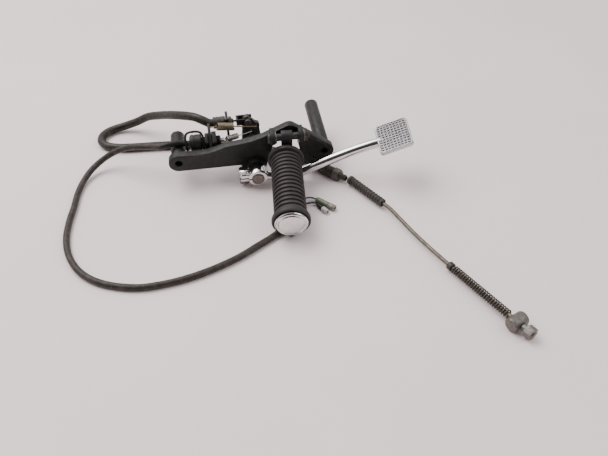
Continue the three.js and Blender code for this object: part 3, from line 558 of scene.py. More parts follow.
# %% Routes of the brake cable and the switch lead
CABLE_Y = 45
CABLE_Z = 16
CABLE_STOP_X = 57
UPPER_FERRULE_X = CABLE_STOP_X - 0.3 - 14
FERRULE_AT = (41.7, 22.9, 6.5)
FERRULE_TO = (66.7, 1.9, 6.5)
CABLE_ON_FLOOR = [
    (-93, 52, 55.6), (-102, 56, 57.3), (-113, 62.5, 55.4), (-125, 71.5, 51), (-139, 85, 43.5),
    (-155, 100, 34), (-172, 112, 25), (-189, 118, 14.5), (-206, 119, 8), (-218, 116, 5.9),
    (-227, 108.5, 5.4), (-230.5, 98, 5.4), (-228, 87, 5.4), (-219, 78.5, 5.4), (-206, 75, 5.4),
    (-190, 74.5, 5.4), (-170, 76, 5.4), (-138, 77.5, 5.4), (-100, 77, 5.4), (-60, 74, 5.4), (-25, 64, 5.4),
    (8, 47.5, 5.4), (30, 32, 6.4),
]
cable_route = smooth_route(
    [on_bracket((UPPER_FERRULE_X + d, CABLE_Y, CABLE_Z)) for d in (8.7, 0, -3.5)]
    + [on_floor(p) for p in CABLE_ON_FLOOR]
    + [on_floor(beyond(FERRULE_AT, FERRULE_TO, -0.3))],
    0.003,
)
LEAD_ON_BRACKET = [(12.4, 22, 9), (7, 22, 10.2), (0, 21.5, 11.9), (-8, 20.8, 11.6), (-18, 20.5, 9.8)]
LEAD_ON_FLOOR = [
    (-152, 24.5, 39.5), (-168, 30.5, 36), (-185, 37.5, 29.5), (-201, 41, 21), (-215, 37.5, 13.5),
    (-225.5, 27, 8.2), (-231.5, 10, 5), (-233, -12, 3.8), (-231, -36, 3.8), (-229.5, -62, 3.8),
    (-225, -88, 3.8), (-215, -113, 3.8), (-199, -134, 3.8), (-180, -147, 3.8), (-158, -154, 3.8),
    (-136, -156, 3.8), (-113, -152, 3.8), (-90, -144.5, 3.8), (-67, -133, 3.8), (-44, -118, 3.8),
    (-26, -102.5, 3.7), (-11, -89, 3.6), (3, -71.5, 3.7),
]
LEAD_END = (12, -58, 4.2)
lead_route = smooth_route(
    [on_bracket(p) for p in LEAD_ON_BRACKET]
    + [on_floor(p) for p in LEAD_ON_FLOOR]
    + [on_floor(LEAD_END)],
    0.003,
)
print("cable", round(length_of(cable_route), 3), "lead", round(length_of(lead_route), 3), "m")

# %% Routes of the bare wire and of the two small wires
BOOT_AT = (73.2, -2, 6.6)
BOOT_END = (106, -45.5, 6.4)
BOOT_L = (Vector(BOOT_END) - Vector(BOOT_AT)).length
COLLAR_AT = (159, -139, 5.8)
ROD_END = (216, -230, 7.8)


def on_rod(distance):
    """A point on the straight threaded end, measured from its collar, in metres."""
    return on_floor(beyond(COLLAR_AT, ROD_END, distance))


COLLAR_L = 5
SPRING_L = 72
BARREL_MID = COLLAR_L + SPRING_L + 8
ROD_L = BARREL_MID + 19
wire_points = [
    beyond(BOOT_AT, BOOT_END, 14), beyond(BOOT_AT, BOOT_END, BOOT_L * 0.6), BOOT_END,
    beyond(BOOT_AT, BOOT_END, BOOT_L + 9.5), (119.5, -67, 5.6), (133, -93, 4.8),
    (146.5, -117, 4.9), beyond(COLLAR_AT, ROD_END, -0.3), beyond(COLLAR_AT, ROD_END, 20),
    beyond(COLLAR_AT, ROD_END, 60), beyond(COLLAR_AT, ROD_END, ROD_L - 0.3),
]
wire_route = smooth_route([on_floor(p) for p in wire_points], 0.003)
GREEN_AT, GREEN_TO = (34, -32.2, 3.6), (54, -48.2, 3.6)
BLACK_AT, BLACK_TO = (35.4, -41, 3.2), (45.7, -53.5, 3.2)
blue_points = [
    (11.3, -56.6, 4.2), (15, -47, 5), (18.5, -38, 5.6), (24, -30.5, 4.8),
    beyond(GREEN_AT, GREEN_TO, -4), beyond(GREEN_AT, GREEN_TO, -0.3),
]
black_points = [
    (13.5, -58.2, 4.2), (19, -47.5, 4.4), (24, -39.5, 4.2),
    beyond(BLACK_AT, BLACK_TO, -4), beyond(BLACK_AT, BLACK_TO, -0.3),
]
blue_route = smooth_route([on_floor(p) for p in blue_points], 0.0012)
black_route = smooth_route([on_floor(p) for p in black_points], 0.0012)
print("wire", round(length_of(wire_route), 3), "blue", round(length_of(blue_route), 3))

# %% Lay the cords
cable = laid_cord(
    "brake_cable_sheath", cable_route, 10, cable_vinyl, "bracket", ("brake_cable",), "vinyl", 0.03, 4
)
lead = laid_cord(
    "switch_lead_sheath", lead_route, 7, lead_vinyl, "bracket", ("switch_lead",), "vinyl", 0.07, 9
)
bare_wire = laid_cord(
    "bare_inner_wire", wire_route, 4.2, steel_wire, "cable_end", ("inner_wire", "threaded_rod"), "wire"
)
blue_wire = laid_cord("blue_wire_skin", blue_route, 2.1, blue_skin, "bracket", ("blue_wire",), "blue")
black_wire = laid_cord(
    "black_wire_skin", black_route, 2.1, black_moulding, "bracket", ("black_wire",), "plastic"
)

# %% [markdown]
# Geometry Nodes make the things that repeat: coils, rows of rings and fields of points. Each
# tree is built once, with named inputs for its sizes, and used for several pieces. A helper puts
# the tree on an empty mesh, sets the inputs by their identifiers, takes the result as a plain
# mesh and moves it along the line where the piece sits.

# %% Geometry Nodes helpers
def new_tree(name, sizes):
    """An empty geometry tree with number inputs and one geometry output."""
    tree = bpy.data.node_groups.new(name, "GeometryNodeTree")
    tree.interface.new_socket("Geometry", in_out="OUTPUT", socket_type="NodeSocketGeometry")
    for label, value in sizes.items():
        kind = "NodeSocketInt" if isinstance(value, int) else "NodeSocketFloat"
        socket = tree.interface.new_socket(label, in_out="INPUT", socket_type=kind)
        socket.default_value = value
    tree.interface.new_socket("Finish", in_out="INPUT", socket_type="NodeSocketMaterial")
    return tree, tree.nodes.new("NodeGroupInput").outputs


def close_tree(tree, geometry, finish):
    """Ends a tree with Realize Instances and Set Material."""
    real = node(tree, "GeometryNodeRealizeInstances", {"Geometry": geometry})
    made = node(
        tree, "GeometryNodeSetMaterial", {"Geometry": real.outputs["Geometry"], "Material": finish}
    )
    out = tree.nodes.new("NodeGroupOutput")
    tree.links.new(made.outputs["Geometry"], out.inputs["Geometry"])
    return tree


def grow(name, tree, sizes, place, material):
    """Runs a tree and returns its result as a plain mesh object, moved by `place`."""
    piece = bpy.data.objects.new(name, bpy.data.meshes.new(name))
    bpy.context.collection.objects.link(piece)
    modifier = piece.modifiers.new("grow", "NODES")
    modifier.node_group = tree
    wanted = dict(sizes, Finish=material)
    for socket in tree.interface.items_tree:
        if socket.in_out == "INPUT" and socket.name in wanted:
            modifier[socket.identifier] = wanted[socket.name]
    bake(piece)
    piece.data.transform(place)
    if place.to_3x3().determinant() < 0:
        piece.data.flip_normals()
    print(name, len(piece.data.polygons), "faces")
    return piece


# %% A coil of round wire
coil_tree, given = new_tree("coil", {"Turns": 10.0, "Radius": 0.004, "Length": 0.02, "Wire": 0.0008})
spiral = node(
    coil_tree,
    "GeometryNodeCurveSpiral",
    {
        "Resolution": 26,
        "Rotations": given["Turns"],
        "Start Radius": given["Radius"],
        "End Radius": given["Radius"],
        "Height": given["Length"],
    },
)
wire_section = node(
    coil_tree, "GeometryNodeCurvePrimitiveCircle", {"Resolution": 10, "Radius": given["Wire"]},
)
coil_mesh = node(
    coil_tree,
    "GeometryNodeCurveToMesh",
    {"Curve": spiral.outputs["Curve"], "Profile Curve": wire_section.outputs["Curve"], "Fill Caps": True},
)
close_tree(coil_tree, coil_mesh.outputs["Mesh"], given["Finish"])

# %% A row of rings with a rounded section
ring_tree, given = new_tree(
    "ring_row",
    {"Count": 10, "Pitch": 0.005, "Radius": 0.015, "Height": 0.003, "Width": 0.003, "Corner": 0.0006},
)
section = node(
    ring_tree,
    "GeometryNodeCurvePrimitiveQuadrilateral",
    {"Width": given["Height"], "Height": given["Width"]},
)
soft_section = node(
    ring_tree,
    "GeometryNodeFilletCurve",
    {"Curve": section.outputs["Curve"], "Radius": given["Corner"], "Count": 3},
    mode="POLY",
)
round_path = node(
    ring_tree, "GeometryNodeCurvePrimitiveCircle", {"Resolution": 80, "Radius": given["Radius"]},
)
one_ring = node(
    ring_tree,
    "GeometryNodeCurveToMesh",
    {"Curve": round_path.outputs["Curve"], "Profile Curve": soft_section.outputs["Curve"]},
)
step_by = node(ring_tree, "ShaderNodeCombineXYZ", {"Z": given["Pitch"]})
row = node(
    ring_tree,
    "GeometryNodeMeshLine",
    {"Count": given["Count"], "Offset": step_by.outputs["Vector"]},
)
rings = node(
    ring_tree,
    "GeometryNodeInstanceOnPoints",
    {"Points": row.outputs["Mesh"], "Instance": one_ring.outputs["Mesh"]},
)
close_tree(ring_tree, rings.outputs["Instances"], given["Finish"])

# %% A field of small pyramids
field_tree, given = new_tree(
    "pyramid_field",
    {
        "Columns": 9, "Rows": 10, "Length": 0.03, "Breadth": 0.04, "Foot": 0.0024, "Tip": 0.0005,
        "Rise": 0.0016,
    },
)
grid = node(
    field_tree,
    "GeometryNodeMeshGrid",
    {
        "Size X": given["Length"],
        "Size Y": given["Breadth"],
        "Vertices X": given["Columns"],
        "Vertices Y": given["Rows"],
    },
)
pyramid = node(
    field_tree,
    "GeometryNodeMeshCone",
    {"Vertices": 4, "Radius Top": given["Tip"], "Radius Bottom": given["Foot"], "Depth": given["Rise"]},
)
turn_pyramid = node(
    field_tree,
    "GeometryNodeTransform",
    {"Geometry": pyramid.outputs["Mesh"], "Rotation": (0, 0, math.pi / 4)},
)
field = node(
    field_tree,
    "GeometryNodeInstanceOnPoints",
    {"Points": grid.outputs["Mesh"], "Instance": turn_pyramid.outputs["Geometry"]},
)
close_tree(field_tree, field.outputs["Instances"], given["Finish"])

# %% A ring of weld beads
weld_tree, given = new_tree("weld_ring", {"Beads": 24, "Radius": 0.01, "Bead": 0.0012, "Seed": 1})
weld_path = node(
    weld_tree, "GeometryNodeCurvePrimitiveCircle", {"Resolution": given["Beads"], "Radius": given["Radius"]}
)
bead = node(weld_tree, "GeometryNodeMeshIcoSphere", {"Radius": given["Bead"], "Subdivisions": 2})
uneven = node(
    weld_tree,
    "FunctionNodeRandomValue",
    {"Seed": given["Seed"]},
    data_type="FLOAT",
)
uneven.inputs[2].default_value = 0.85
uneven.inputs[3].default_value = 1.2
weld = node(
    weld_tree,
    "GeometryNodeInstanceOnPoints",
    {"Points": weld_path.outputs["Curve"], "Instance": bead.outputs["Mesh"]},
)
weld_tree.links.new(uneven.outputs[1], weld.inputs["Scale"])
close_tree(weld_tree, weld.outputs["Instances"], given["Finish"])
print("trees:", [t.name for t in bpy.data.node_groups])

# %% [markdown]
# The bracket is a flame-cut plate with tubes and tabs welded to it. Its solids already have the
# right outlines, so most of them are copied, merged and given a small rounded edge that catches
# light the way a painted edge does. Round parts are turned again with more sides.

# %% Plate, ears, tabs and stop
GAP = 0.3
PLATE_T = 8
HOLE_SPACING = 164
FRONT_DROP = 5
PIVOT_X = 85
PIVOT_Z = -15.4
SLEEVE_OUT = 5
SLEEVE_IN = 38
for source, width in {
    "bracket_plate": 0.9, "rear_peg_ear": 0.7, "front_peg_ear": 0.7, "switch_tab": 0.45, "cable_stop": 0.45,
}.items():
    softened(source + "_look", source, satin_black, "paint", width, 3)


def at_pivot(y):
    return on_bracket((PIVOT_X, y, PIVOT_Z))


def tube_at(name, x, z, length):
    start, end = on_bracket((x, PLATE_T + GAP, z)), on_bracket((x, PLATE_T + GAP + length, z))
    return turned(
        name + "_look", rounded_rod(16, length, 0.6, 8.5), start, end, satin_black, "bracket", (name,),
        "paint",
    )


tube_at("rear_mount_tube", 0, 0, 40)
tube_at("front_mount_tube", HOLE_SPACING, -FRONT_DROP, 80)
turned(
    "pivot_sleeve_look", rounded_rod(21, SLEEVE_OUT + SLEEVE_IN, 0.7, 17.96),
    at_pivot(-SLEEVE_OUT), at_pivot(SLEEVE_IN), satin_black, "bracket", ("pivot_sleeve",), "paint", 80,
)

# %% Weld beads round the tubes and the sleeve
WELDS = (
    ("rear_tube_weld", 0, 0, PLATE_T + 0.6, 8.4, 30),
    ("front_tube_weld", HOLE_SPACING, -FRONT_DROP, PLATE_T + 0.6, 8.4, 30),
    ("sleeve_weld_inboard", PIVOT_X, PIVOT_Z, PLATE_T + 0.6, 10.9, 38),
    ("sleeve_weld_outboard", PIVOT_X, PIVOT_Z, -0.6, 10.9, 38),
)
for seed, (name, x, z, y, radius, beads) in enumerate(WELDS):
    sizes = {"Beads": beads, "Radius": radius * MM, "Bead": 1.15 * MM, "Seed": seed + 3}
    place = line_up(on_bracket((x, y, z)), on_bracket((x, y + 1, z)))
    settle(grow(name, weld_tree, sizes, place, satin_black), satin_black, "bracket", slot="paint", sharp=60)

# %% [markdown]
# Bent wires, such as the guide loop and the spring hooks, are swept along a smooth line. A curve
# with a round section does it, and its evaluated mesh is kept so that the piece is plain.

# %% Bent wires
def bent_wire(name, points, diameter, material, body, nodes=(), slot=None, spacing=0.0012):
    """A wire through the points, which are in metres."""
    made = laid_cord(name, smooth_route(points, spacing), diameter, material, body, nodes, slot)
    bake_curve(made)
    return made


def bake_curve(made):
    """Replaces a curve object with a mesh object of the same name and ties."""
    graph = bpy.context.evaluated_depsgraph_get()
    mesh = bpy.data.meshes.new_from_object(made.evaluated_get(graph))
    bm = bmesh.new()
    bm.from_mesh(mesh)
    bmesh.ops.remove_doubles(bm, verts=bm.verts[:], dist=1e-6)
    bmesh.ops.recalc_face_normals(bm, faces=bm.faces[:])
    bm.to_mesh(mesh)
    bm.free()
    name, body, ties = made.name, made["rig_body"], list(made.get("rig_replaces", []))
    slot_name = made.get("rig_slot")
    material = made.data.materials[0]
    bpy.data.objects.remove(made)
    fresh = bpy.data.objects.new(name, mesh)
    bpy.context.collection.objects.link(fresh)
    return settle(fresh, material, body, ties, slot_name)


LOOP_REAR, LOOP_FRONT, LOOP_Y = 11.3, 29.7, 13
loop_points = [
    (LOOP_REAR, PLATE_T + 1.6, -4), (LOOP_REAR, LOOP_Y - 1, -2), (LOOP_REAR, LOOP_Y, 6),
    (LOOP_REAR, LOOP_Y, 26), (LOOP_REAR + 3, LOOP_Y, 31), (LOOP_FRONT - 3, LOOP_Y, 31),
    (LOOP_FRONT, LOOP_Y, 26), (LOOP_FRONT, LOOP_Y, 6), (LOOP_FRONT, LOOP_Y - 1, -2),
    (LOOP_FRONT, PLATE_T + 1.6, -4),
]
bent_wire(
    "wire_guide_loop_look", [on_bracket(p) for p in loop_points], 2.6, satin_black, "bracket",
    ("wire_guide_loop",), "paint",
)

# %% [markdown]
# The stop-light switch is a moulded plastic body with a threaded neck. Two wide nuts clamp it to
# its tab, and a light spring joins its plunger to the lever on the pedal shaft. The thread is cut
# as a row of grooves in the lathe profile: at this size a true helix would look the same.

# %% Stop-light switch
SWITCH_Y, SWITCH_Z = 22, 9
BODY_REAR, BODY_FRONT = LOOP_REAR + 2.2, LOOP_FRONT - 2.2
SWITCH_TAB_X = 36
NECK_END = SWITCH_TAB_X + 13


def on_switch(x):
    return on_bracket((x, SWITCH_Y, SWITCH_Z))


def thread(radius, start, end, pitch=0.8, depth=0.4):
    """Lathe points of a row of thread grooves."""
    turns = int((end - start) / pitch)
    points = []
    for i in range(turns):
        points += [(radius - depth, start + i * pitch), (radius, start + (i + 0.5) * pitch)]
    return points + [(radius - depth, start + turns * pitch)]


body_length = BODY_FRONT - BODY_REAR
neck_length = NECK_END - BODY_REAR
switch_profile = [(0, 0), (3.8, 0), (4.3, 0.5), (6.8, 1.0), (8.9, 2.0), (9.4, 3.0), (9.4, 5.4)]
switch_profile += [(8.9, 5.8), (8.9, 6.6), (9.4, 7.0), (9.4, body_length - 1.0), (8.6, body_length)]
switch_profile += thread(6.0, body_length + 0.4, neck_length - 0.6)
switch_profile += [(5.2, neck_length), (2.9, neck_length), (2.9, neck_length - 9), (0, neck_length - 9)]
turned(
    "switch_body_look", switch_profile, on_switch(BODY_REAR), on_switch(NECK_END), black_moulding,
    "bracket", ("switch_body",), "plastic", 72, 30,
)
softened("switch_rear_nut_look", "switch_rear_nut", black_moulding, "plastic", 0.5)
softened("switch_front_nut_look", "switch_front_nut", black_moulding, "plastic", 0.5)
PLUNGER_END = NECK_END + 4
turned(
    "switch_plunger_look", rounded_rod(5, 12, 0.5), on_switch(NECK_END - 8), on_switch(PLUNGER_END),
    bright_zinc, "switch_rod", ("switch_plunger",), "steel", 32,
)

# %% Switch spring and its hooks
LEVER_Y, LEVER_T = 42.5, 5
SWITCH_HOOK = (85.5, LEVER_Y - 1.6, 1)
plunger_tip = (PLUNGER_END, SWITCH_Y, SWITCH_Z)
spring_from = beyond(plunger_tip, SWITCH_HOOK, 2.6)
spring_to = beyond(spring_from, SWITCH_HOOK, 16)
sizes = {"Turns": 13.0, "Radius": 2.95 * MM, "Length": 15.2 * MM, "Wire": 0.5 * MM}
place = line_up(on_bracket(beyond(spring_from, spring_to, 0.4)), on_bracket(spring_to))
settle(
    grow("switch_spring_coil", coil_tree, sizes, place, bright_zinc), bright_zinc, "switch_rod",
    ("switch_spring",), "steel",
)
bent_wire(
    "switch_spring_eye", [on_bracket(beyond(spring_from, spring_to, d)) for d in (-2, -1, 0.4, 1.4)],
    1.1, bright_zinc, "switch_rod", slot="steel",
)
bent_wire(
    "switch_spring_hook_look",
    [on_bracket(beyond(spring_to, SWITCH_HOOK, d)) for d in (-1.2, 4, 12)]
    + [
        on_bracket((SWITCH_HOOK[0] - 1.2, SWITCH_HOOK[1] - 0.2, SWITCH_HOOK[2] + 0.3)),
        on_bracket(SWITCH_HOOK), on_bracket((SWITCH_HOOK[0], LEVER_Y + 1.2, SWITCH_HOOK[2])),
    ],
    1.2, bright_zinc, "switch_rod", ("switch_spring_hook",), "steel",
)

# %% [markdown]
# The return spring pulls the lever back. It is fixed to the tab at one end and to the lever at
# the other; its coil is grown once in place and tied to neither body.

# %% Return spring
RETURN_HOOK = (91, LEVER_Y - 1.6, 8)
RETURN_TAIL = (SWITCH_TAB_X + 3 + GAP, 29, 23)
RETURN_FROM = (46.5, 29.5, 22.5)
return_to = beyond(RETURN_FROM, RETURN_HOOK, 20)
sizes = {"Turns": 12.5, "Radius": 3.75 * MM, "Length": 19.4 * MM, "Wire": 0.72 * MM}
place = line_up(on_bracket(beyond(RETURN_FROM, return_to, 0.4)), on_bracket(return_to))
return_coil = grow("return_spring_coil", coil_tree, sizes, place, tan_spring)
return_coil.data.shade_smooth()
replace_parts(return_coil, "return_spring")
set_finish(return_coil, "worn")
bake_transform(return_coil)
bent_wire(
    "return_spring_tail",
    [
        on_bracket(p)
        for p in (RETURN_TAIL, (42, 29, 23), (45.5, 29.4, 22.7), beyond(RETURN_FROM, return_to, 1.2))
    ],
    1.4, tan_spring, "bracket", slot="worn",
)
bent_wire(
    "return_spring_hook_look",
    [on_bracket(beyond(return_to, RETURN_HOOK, d)) for d in (-1.2, 6, 16)]
    + [
        on_bracket((RETURN_HOOK[0] - 1.4, RETURN_HOOK[1] - 0.3, RETURN_HOOK[2] + 0.4)),
        on_bracket(RETURN_HOOK), on_bracket((RETURN_HOOK[0], LEVER_Y + 1.2, RETURN_HOOK[2])),
    ],
    1.5, tan_spring, "return_hook", ("return_spring_hook",), "steel",
)
softened("inner_lever_look", "inner_lever", worn_paint_edge_highlight, "steel", 0.4)

# %% [markdown]
# The pedal's shaft is splined at its outer end, where the clamp grips it. The splines are teeth
# round each ring of the mesh, between plain stations, so one closed skin holds both.

# %% Pivot shaft, bushes, washer and circlip
CLAMP_W = 17
SHAFT_R = 7
RUN = 0.08  # clearance round the shaft in its bushes
BUSH_L = 14
BUSH_WALL = 1.6
SHAFT_OUT = -SLEEVE_OUT - GAP - CLAMP_W - 2
SHAFT_IN = LEVER_Y + LEVER_T + 5
GROOVE_Y = LEVER_Y + LEVER_T + 1.8


def splined_shaft(name, stations, teeth=32, per_tooth=4):
    """A closed rod from (distance, radius, tooth depth) stations along the pivot axis."""
    bm = bmesh.new()
    place = line_up(at_pivot(SHAFT_OUT), at_pivot(SHAFT_IN))
    sides = teeth * per_tooth
    rings = []
    for along, radius, depth in stations:
        ring = []
        for i in range(sides):
            cut = depth if i % per_tooth >= per_tooth / 2 else 0
            angle = 2 * math.pi * i / sides
            r = radius - cut
            spot = Vector((r * math.cos(angle), r * math.sin(angle), along))
            ring.append(bm.verts.new(place @ (spot * MM)))
        rings.append(ring)
    for a, b in zip(rings, rings[1:]):
        for i in range(sides):
            j = (i + 1) % sides
            bm.faces.new((a[i], a[j], b[j], b[i]))
    for ring in (rings[0], rings[-1]):
        hub = bm.verts.new(sum((v.co for v in ring), Vector()) / sides)
        for i in range(sides):
            bm.faces.new((hub, ring[i], ring[(i + 1) % sides]))
    return object_from(bm, name)


shaft_length = SHAFT_IN - SHAFT_OUT
groove = GROOVE_Y - SHAFT_OUT
stations = [
    (0.7, 2.4, 0), (0.7, 5.2, 0), (0, 5.7, 0), (0, 6.3, 0.2), (0.6, SHAFT_R, 0.45),
    (19.5, SHAFT_R, 0.45), (19.8, 6.6, 0), (20.3, SHAFT_R, 0),
]
stations += [(groove, SHAFT_R, 0), (groove, 6.1, 0), (groove + 1.6, 6.1, 0)]
stations += [(groove + 1.6, SHAFT_R, 0), (shaft_length - 0.8, SHAFT_R, 0), (shaft_length, 6.2, 0)]
settle(splined_shaft("pivot_shaft_look", stations), worn_shaft, "pedal", ("pivot_shaft",), "worn", 30)
bush_bore = 2 * (SHAFT_R + RUN)
bush_shape = rounded_rod(bush_bore + 2 * BUSH_WALL, BUSH_L, 0.3, bush_bore)
for name, y in (("outer_bush", -SLEEVE_OUT), ("inner_bush", SLEEVE_IN - BUSH_L)):
    turned(
        name + "_look", bush_shape, at_pivot(y), at_pivot(y + BUSH_L), bearing_bronze,
        "bracket", (name,), "bronze",
    )
turned(
    "thrust_washer_look", rounded_rod(24, LEVER_Y - SLEEVE_IN - 2 * GAP, 0.4, 14.6),
    at_pivot(SLEEVE_IN + GAP), at_pivot(LEVER_Y - GAP), dull_zinc, "pedal", ("thrust_washer",), "steel",
)
softened("shaft_circlip_look", "shaft_circlip", dark_spring, "steel", 0.2)

# %% [markdown]
# The pedal arm is a bent bar of slightly tall section, welded to a split clamp. The bar is swept
# along a smooth path, the clamp is turned, and Boolean modifiers join them and cut the slot, so
# the chrome runs over one skin as it does on the real forging.

# %% Brake pedal arm
CLAMP_IN = -SLEEVE_OUT - GAP - 0.2
CLAMP_OUT = CLAMP_IN - CLAMP_W
CLAMP_MID = (CLAMP_IN + CLAMP_OUT) / 2
CLAMP_D = 21.6
LUG_X = PIVOT_X - CLAMP_D / 2 - 4
LUG_H = 11
CLAMP_PLAY = 0.15  # between the shaft and the clamp's bore
SLOT_HALF = 0.9
ARM_W, ARM_H = 10.4, 11.4
PAD_AT = Vector((235.5, -22, 27.3))
arm_points = [
    (PIVOT_X + 9, CLAMP_MID, PIVOT_Z - 3), (PIVOT_X + 21, CLAMP_MID - 0.4, PIVOT_Z - 6),
    (PIVOT_X + 34, CLAMP_MID - 1.4, PIVOT_Z - 6.5), (PIVOT_X + 47, CLAMP_MID - 2.6, PIVOT_Z - 3),
    (PIVOT_X + 62, -17.5, -11.3), (PIVOT_X + 84, -17, -3.2), (PIVOT_X + 108, -17.5, 5.8),
    (PAD_AT.x - 22, -19, 13), (PAD_AT.x - 8, -20, 16.6),
]


def sweep(bm, route, width, height, sides=40):
    """Adds an oval bar along route, in metres; height is along the bracket's up."""
    up = (on_bracket((0, 0, 1)) - on_bracket((0, 0, 0))).normalized()
    rings = []
    for i, spot in enumerate(route):
        ahead = (route[min(i + 1, len(route) - 1)] - route[max(i - 1, 0)]).normalized()
        side = ahead.cross(up).normalized()
        over = side.cross(ahead)
        scale = 1 if 0 < i < len(route) - 1 else 0.9
        ring = []
        for k in range(sides):
            a = 2 * math.pi * k / sides
            offset = side * (width / 2 * math.cos(a)) + over * (height / 2 * math.sin(a))
            ring.append(bm.verts.new(spot + offset * MM * scale))
        rings.append(ring)
    for a, b in zip(rings, rings[1:]):
        for k in range(sides):
            j = (k + 1) % sides
            bm.faces.new((a[k], a[j], b[j], b[k]))
    bm.faces.new(rings[0])
    bm.faces.new(rings[-1])


def block(bm, low, high, frame_point):
    """Adds a box from low to high, in the frame that frame_point turns into metres."""
    corners = [
        bm.verts.new(frame_point((x, y, z)))
        for x in (low[0], high[0])
        for y in (low[1], high[1])
        for z in (low[2], high[2])
    ]
    for quad in ((0, 1, 3, 2), (4, 6, 7, 5), (0, 4, 5, 1), (2, 3, 7, 6), (0, 2, 6, 4), (1, 5, 7, 3)):
        bm.faces.new([corners[i] for i in quad])


def rounded_block(name, low, high, frame_point, width=1.0, segments=3):
    """A box with rounded edges, as its own object."""
    bm = bmesh.new()
    block(bm, low, high, frame_point)
    made = object_from(bm, name)
    bevel = made.modifiers.new("round", "BEVEL")
    bevel.width = width * MM
    bevel.segments = segments
    return bake(made)


def carve(piece, tools):
    """Joins or cuts other objects into a piece, and removes them. tools is (object, operation)."""
    for tool, operation in tools:
        boolean = piece.modifiers.new("carve", "BOOLEAN")
        boolean.object = tool
        boolean.operation = operation
        boolean.solver = "EXACT"
        bake(piece)
        bpy.data.objects.remove(tool)
    return piece


def loose(name, build):
    """A bare object whose mesh is filled by build(bm)."""
    bm = bmesh.new()
    build(bm)
    return object_from(bm, name)


arm_route = smooth_route([on_bracket(p) for p in arm_points], 0.0025)
arm = loose("brake_pedal_arm_look", lambda bm: sweep(bm, arm_route, ARM_W, ARM_H))
clamp_profile = rounded_rod(CLAMP_D, CLAMP_W, 1.3)
hub = loose("hub", lambda bm: turn(bm, clamp_profile, at_pivot(CLAMP_OUT), at_pivot(CLAMP_IN), 96))
lug_low = (LUG_X - 5, CLAMP_OUT + 2.5, PIVOT_Z - LUG_H / 2)
lug_high = (PIVOT_X - 8, CLAMP_IN - 2.5, PIVOT_Z + LUG_H / 2)
lug = rounded_block("lug", lug_low, lug_high, on_bracket, 2.2, 4)
hole_r = SHAFT_R + CLAMP_PLAY
hole_shape = [(0, -3), (hole_r, -3), (hole_r, CLAMP_W + 3), (0, CLAMP_W + 3)]
shaft_hole = loose(
    "hole", lambda bm: turn(bm, hole_shape, at_pivot(CLAMP_OUT), at_pivot(CLAMP_IN), 96)
)
slot_low = (LUG_X - 6, CLAMP_OUT - 1, PIVOT_Z - SLOT_HALF)
slot_high = (PIVOT_X - 7, CLAMP_IN + 1, PIVOT_Z + SLOT_HALF)
slot_cut = loose("slot", lambda bm: block(bm, slot_low, slot_high, on_bracket))
carve(arm, ((hub, "UNION"), (lug, "UNION"), (shaft_hole, "DIFFERENCE"), (slot_cut, "DIFFERENCE")))
settle(arm, chrome, "pedal", ("brake_pedal_arm",), "chrome", 30)
print("arm:", len(arm.data.polygons), "faces")
softened("pinch_bolt_look", "pinch_bolt", chrome, "chrome", 0.5, 3)
softened("pinch_nut_look", "pinch_nut", dull_zinc, "chrome", 0.4, 3)

# %% [markdown]
# The pad is a pressed plate with a rim, and rows of small pyramids that grip a boot's sole. The
# pyramids are one field grown on a grid, and the plate is a rounded block whose top is let in.

# %% Brake pad
PAD_L, PAD_W, PAD_T = 37.4, 44.6, 5
PAD_TURN = Matrix.Rotation(math.radians(-4.8), 3, "Z") @ Matrix.Rotation(math.radians(-21.7), 3, "Y")
RIM = 2.2
COLUMNS, ROWS = 9, 10


def on_pad(point):
    return on_bracket(PAD_TURN @ Vector(point) + PAD_AT)


def pad_plate(bm):
    """A plate with rounded corners and a rim round its sunken top."""
    corner = 4.5
    rows = (
        (0, -PAD_T), (0, -1.4), (-0.3, -0.7), (-0.8, -0.4), (-1.5, -0.4), (-RIM, -1.1), (-RIM - 0.2, -1.6),
    )
    rings = []
    for grow_by, z in rows:
        ring = []
        for quarter in range(4):
            sx, sy = ((1, 1), (-1, 1), (-1, -1), (1, -1))[quarter]
            cx, cy = sx * (PAD_L / 2 - corner), sy * (PAD_W / 2 - corner)
            for k in range(9):
                a = math.pi / 2 * (quarter + k / 8)
                r = corner + grow_by
                ring.append(bm.verts.new(on_pad((cx + r * math.cos(a), cy + r * math.sin(a), z))))
        rings.append(ring)
    for a, b in zip(rings, rings[1:]):
        for i in range(len(a)):
            j = (i + 1) % len(a)
            bm.faces.new((a[i], a[j], b[j], b[i]))
    bm.faces.new(rings[0])
    bm.faces.new(rings[-1])


plate = loose("pedal_pad_look", pad_plate)
boss = rounded_block("boss", (-9, -5, -PAD_T - 3), (5, 9, -PAD_T + 0.8), on_pad, 0.8)
carve(plate, ((boss, "UNION"),))
settle(plate, rubbed_chrome, "pedal", ("pedal_pad",), "chrome", 30)
step_x = (PAD_L - 2 * RIM) / COLUMNS
step_y = (PAD_W - 2 * RIM) / ROWS
sizes = {
    "Columns": COLUMNS, "Rows": ROWS,
    "Length": step_x * (COLUMNS - 1) * MM, "Breadth": step_y * (ROWS - 1) * MM,
    "Foot": step_x * 0.7 * MM, "Tip": 0.75 * MM, "Rise": 1.7 * MM,
}
pad_place = Matrix.Translation(on_pad((0, 0, -1.7))) @ (BRACKET_TURN @ PAD_TURN).to_4x4()
settle(
    grow("pedal_pad_points", field_tree, sizes, pad_place, rubbed_chrome), rubbed_chrome, "pedal",
    slot="chrome", sharp=20,
)

# %% [markdown]
# The folding peg: a steel core with a tongue, a thick moulded rubber with flanges at both ends
# and a row of ribs between them, and a bright cap that closes the outer end. Ribs are grown as a
# row of rings with rounded sections on a plain turned sleeve.

# %% Frame of the peg
PEG_AT = Vector((117.5, -15, 5))
PEG_TURN = Matrix.Rotation(math.radians(-5), 3, "Z") @ Matrix.Rotation(math.radians(1.3), 3, "X")


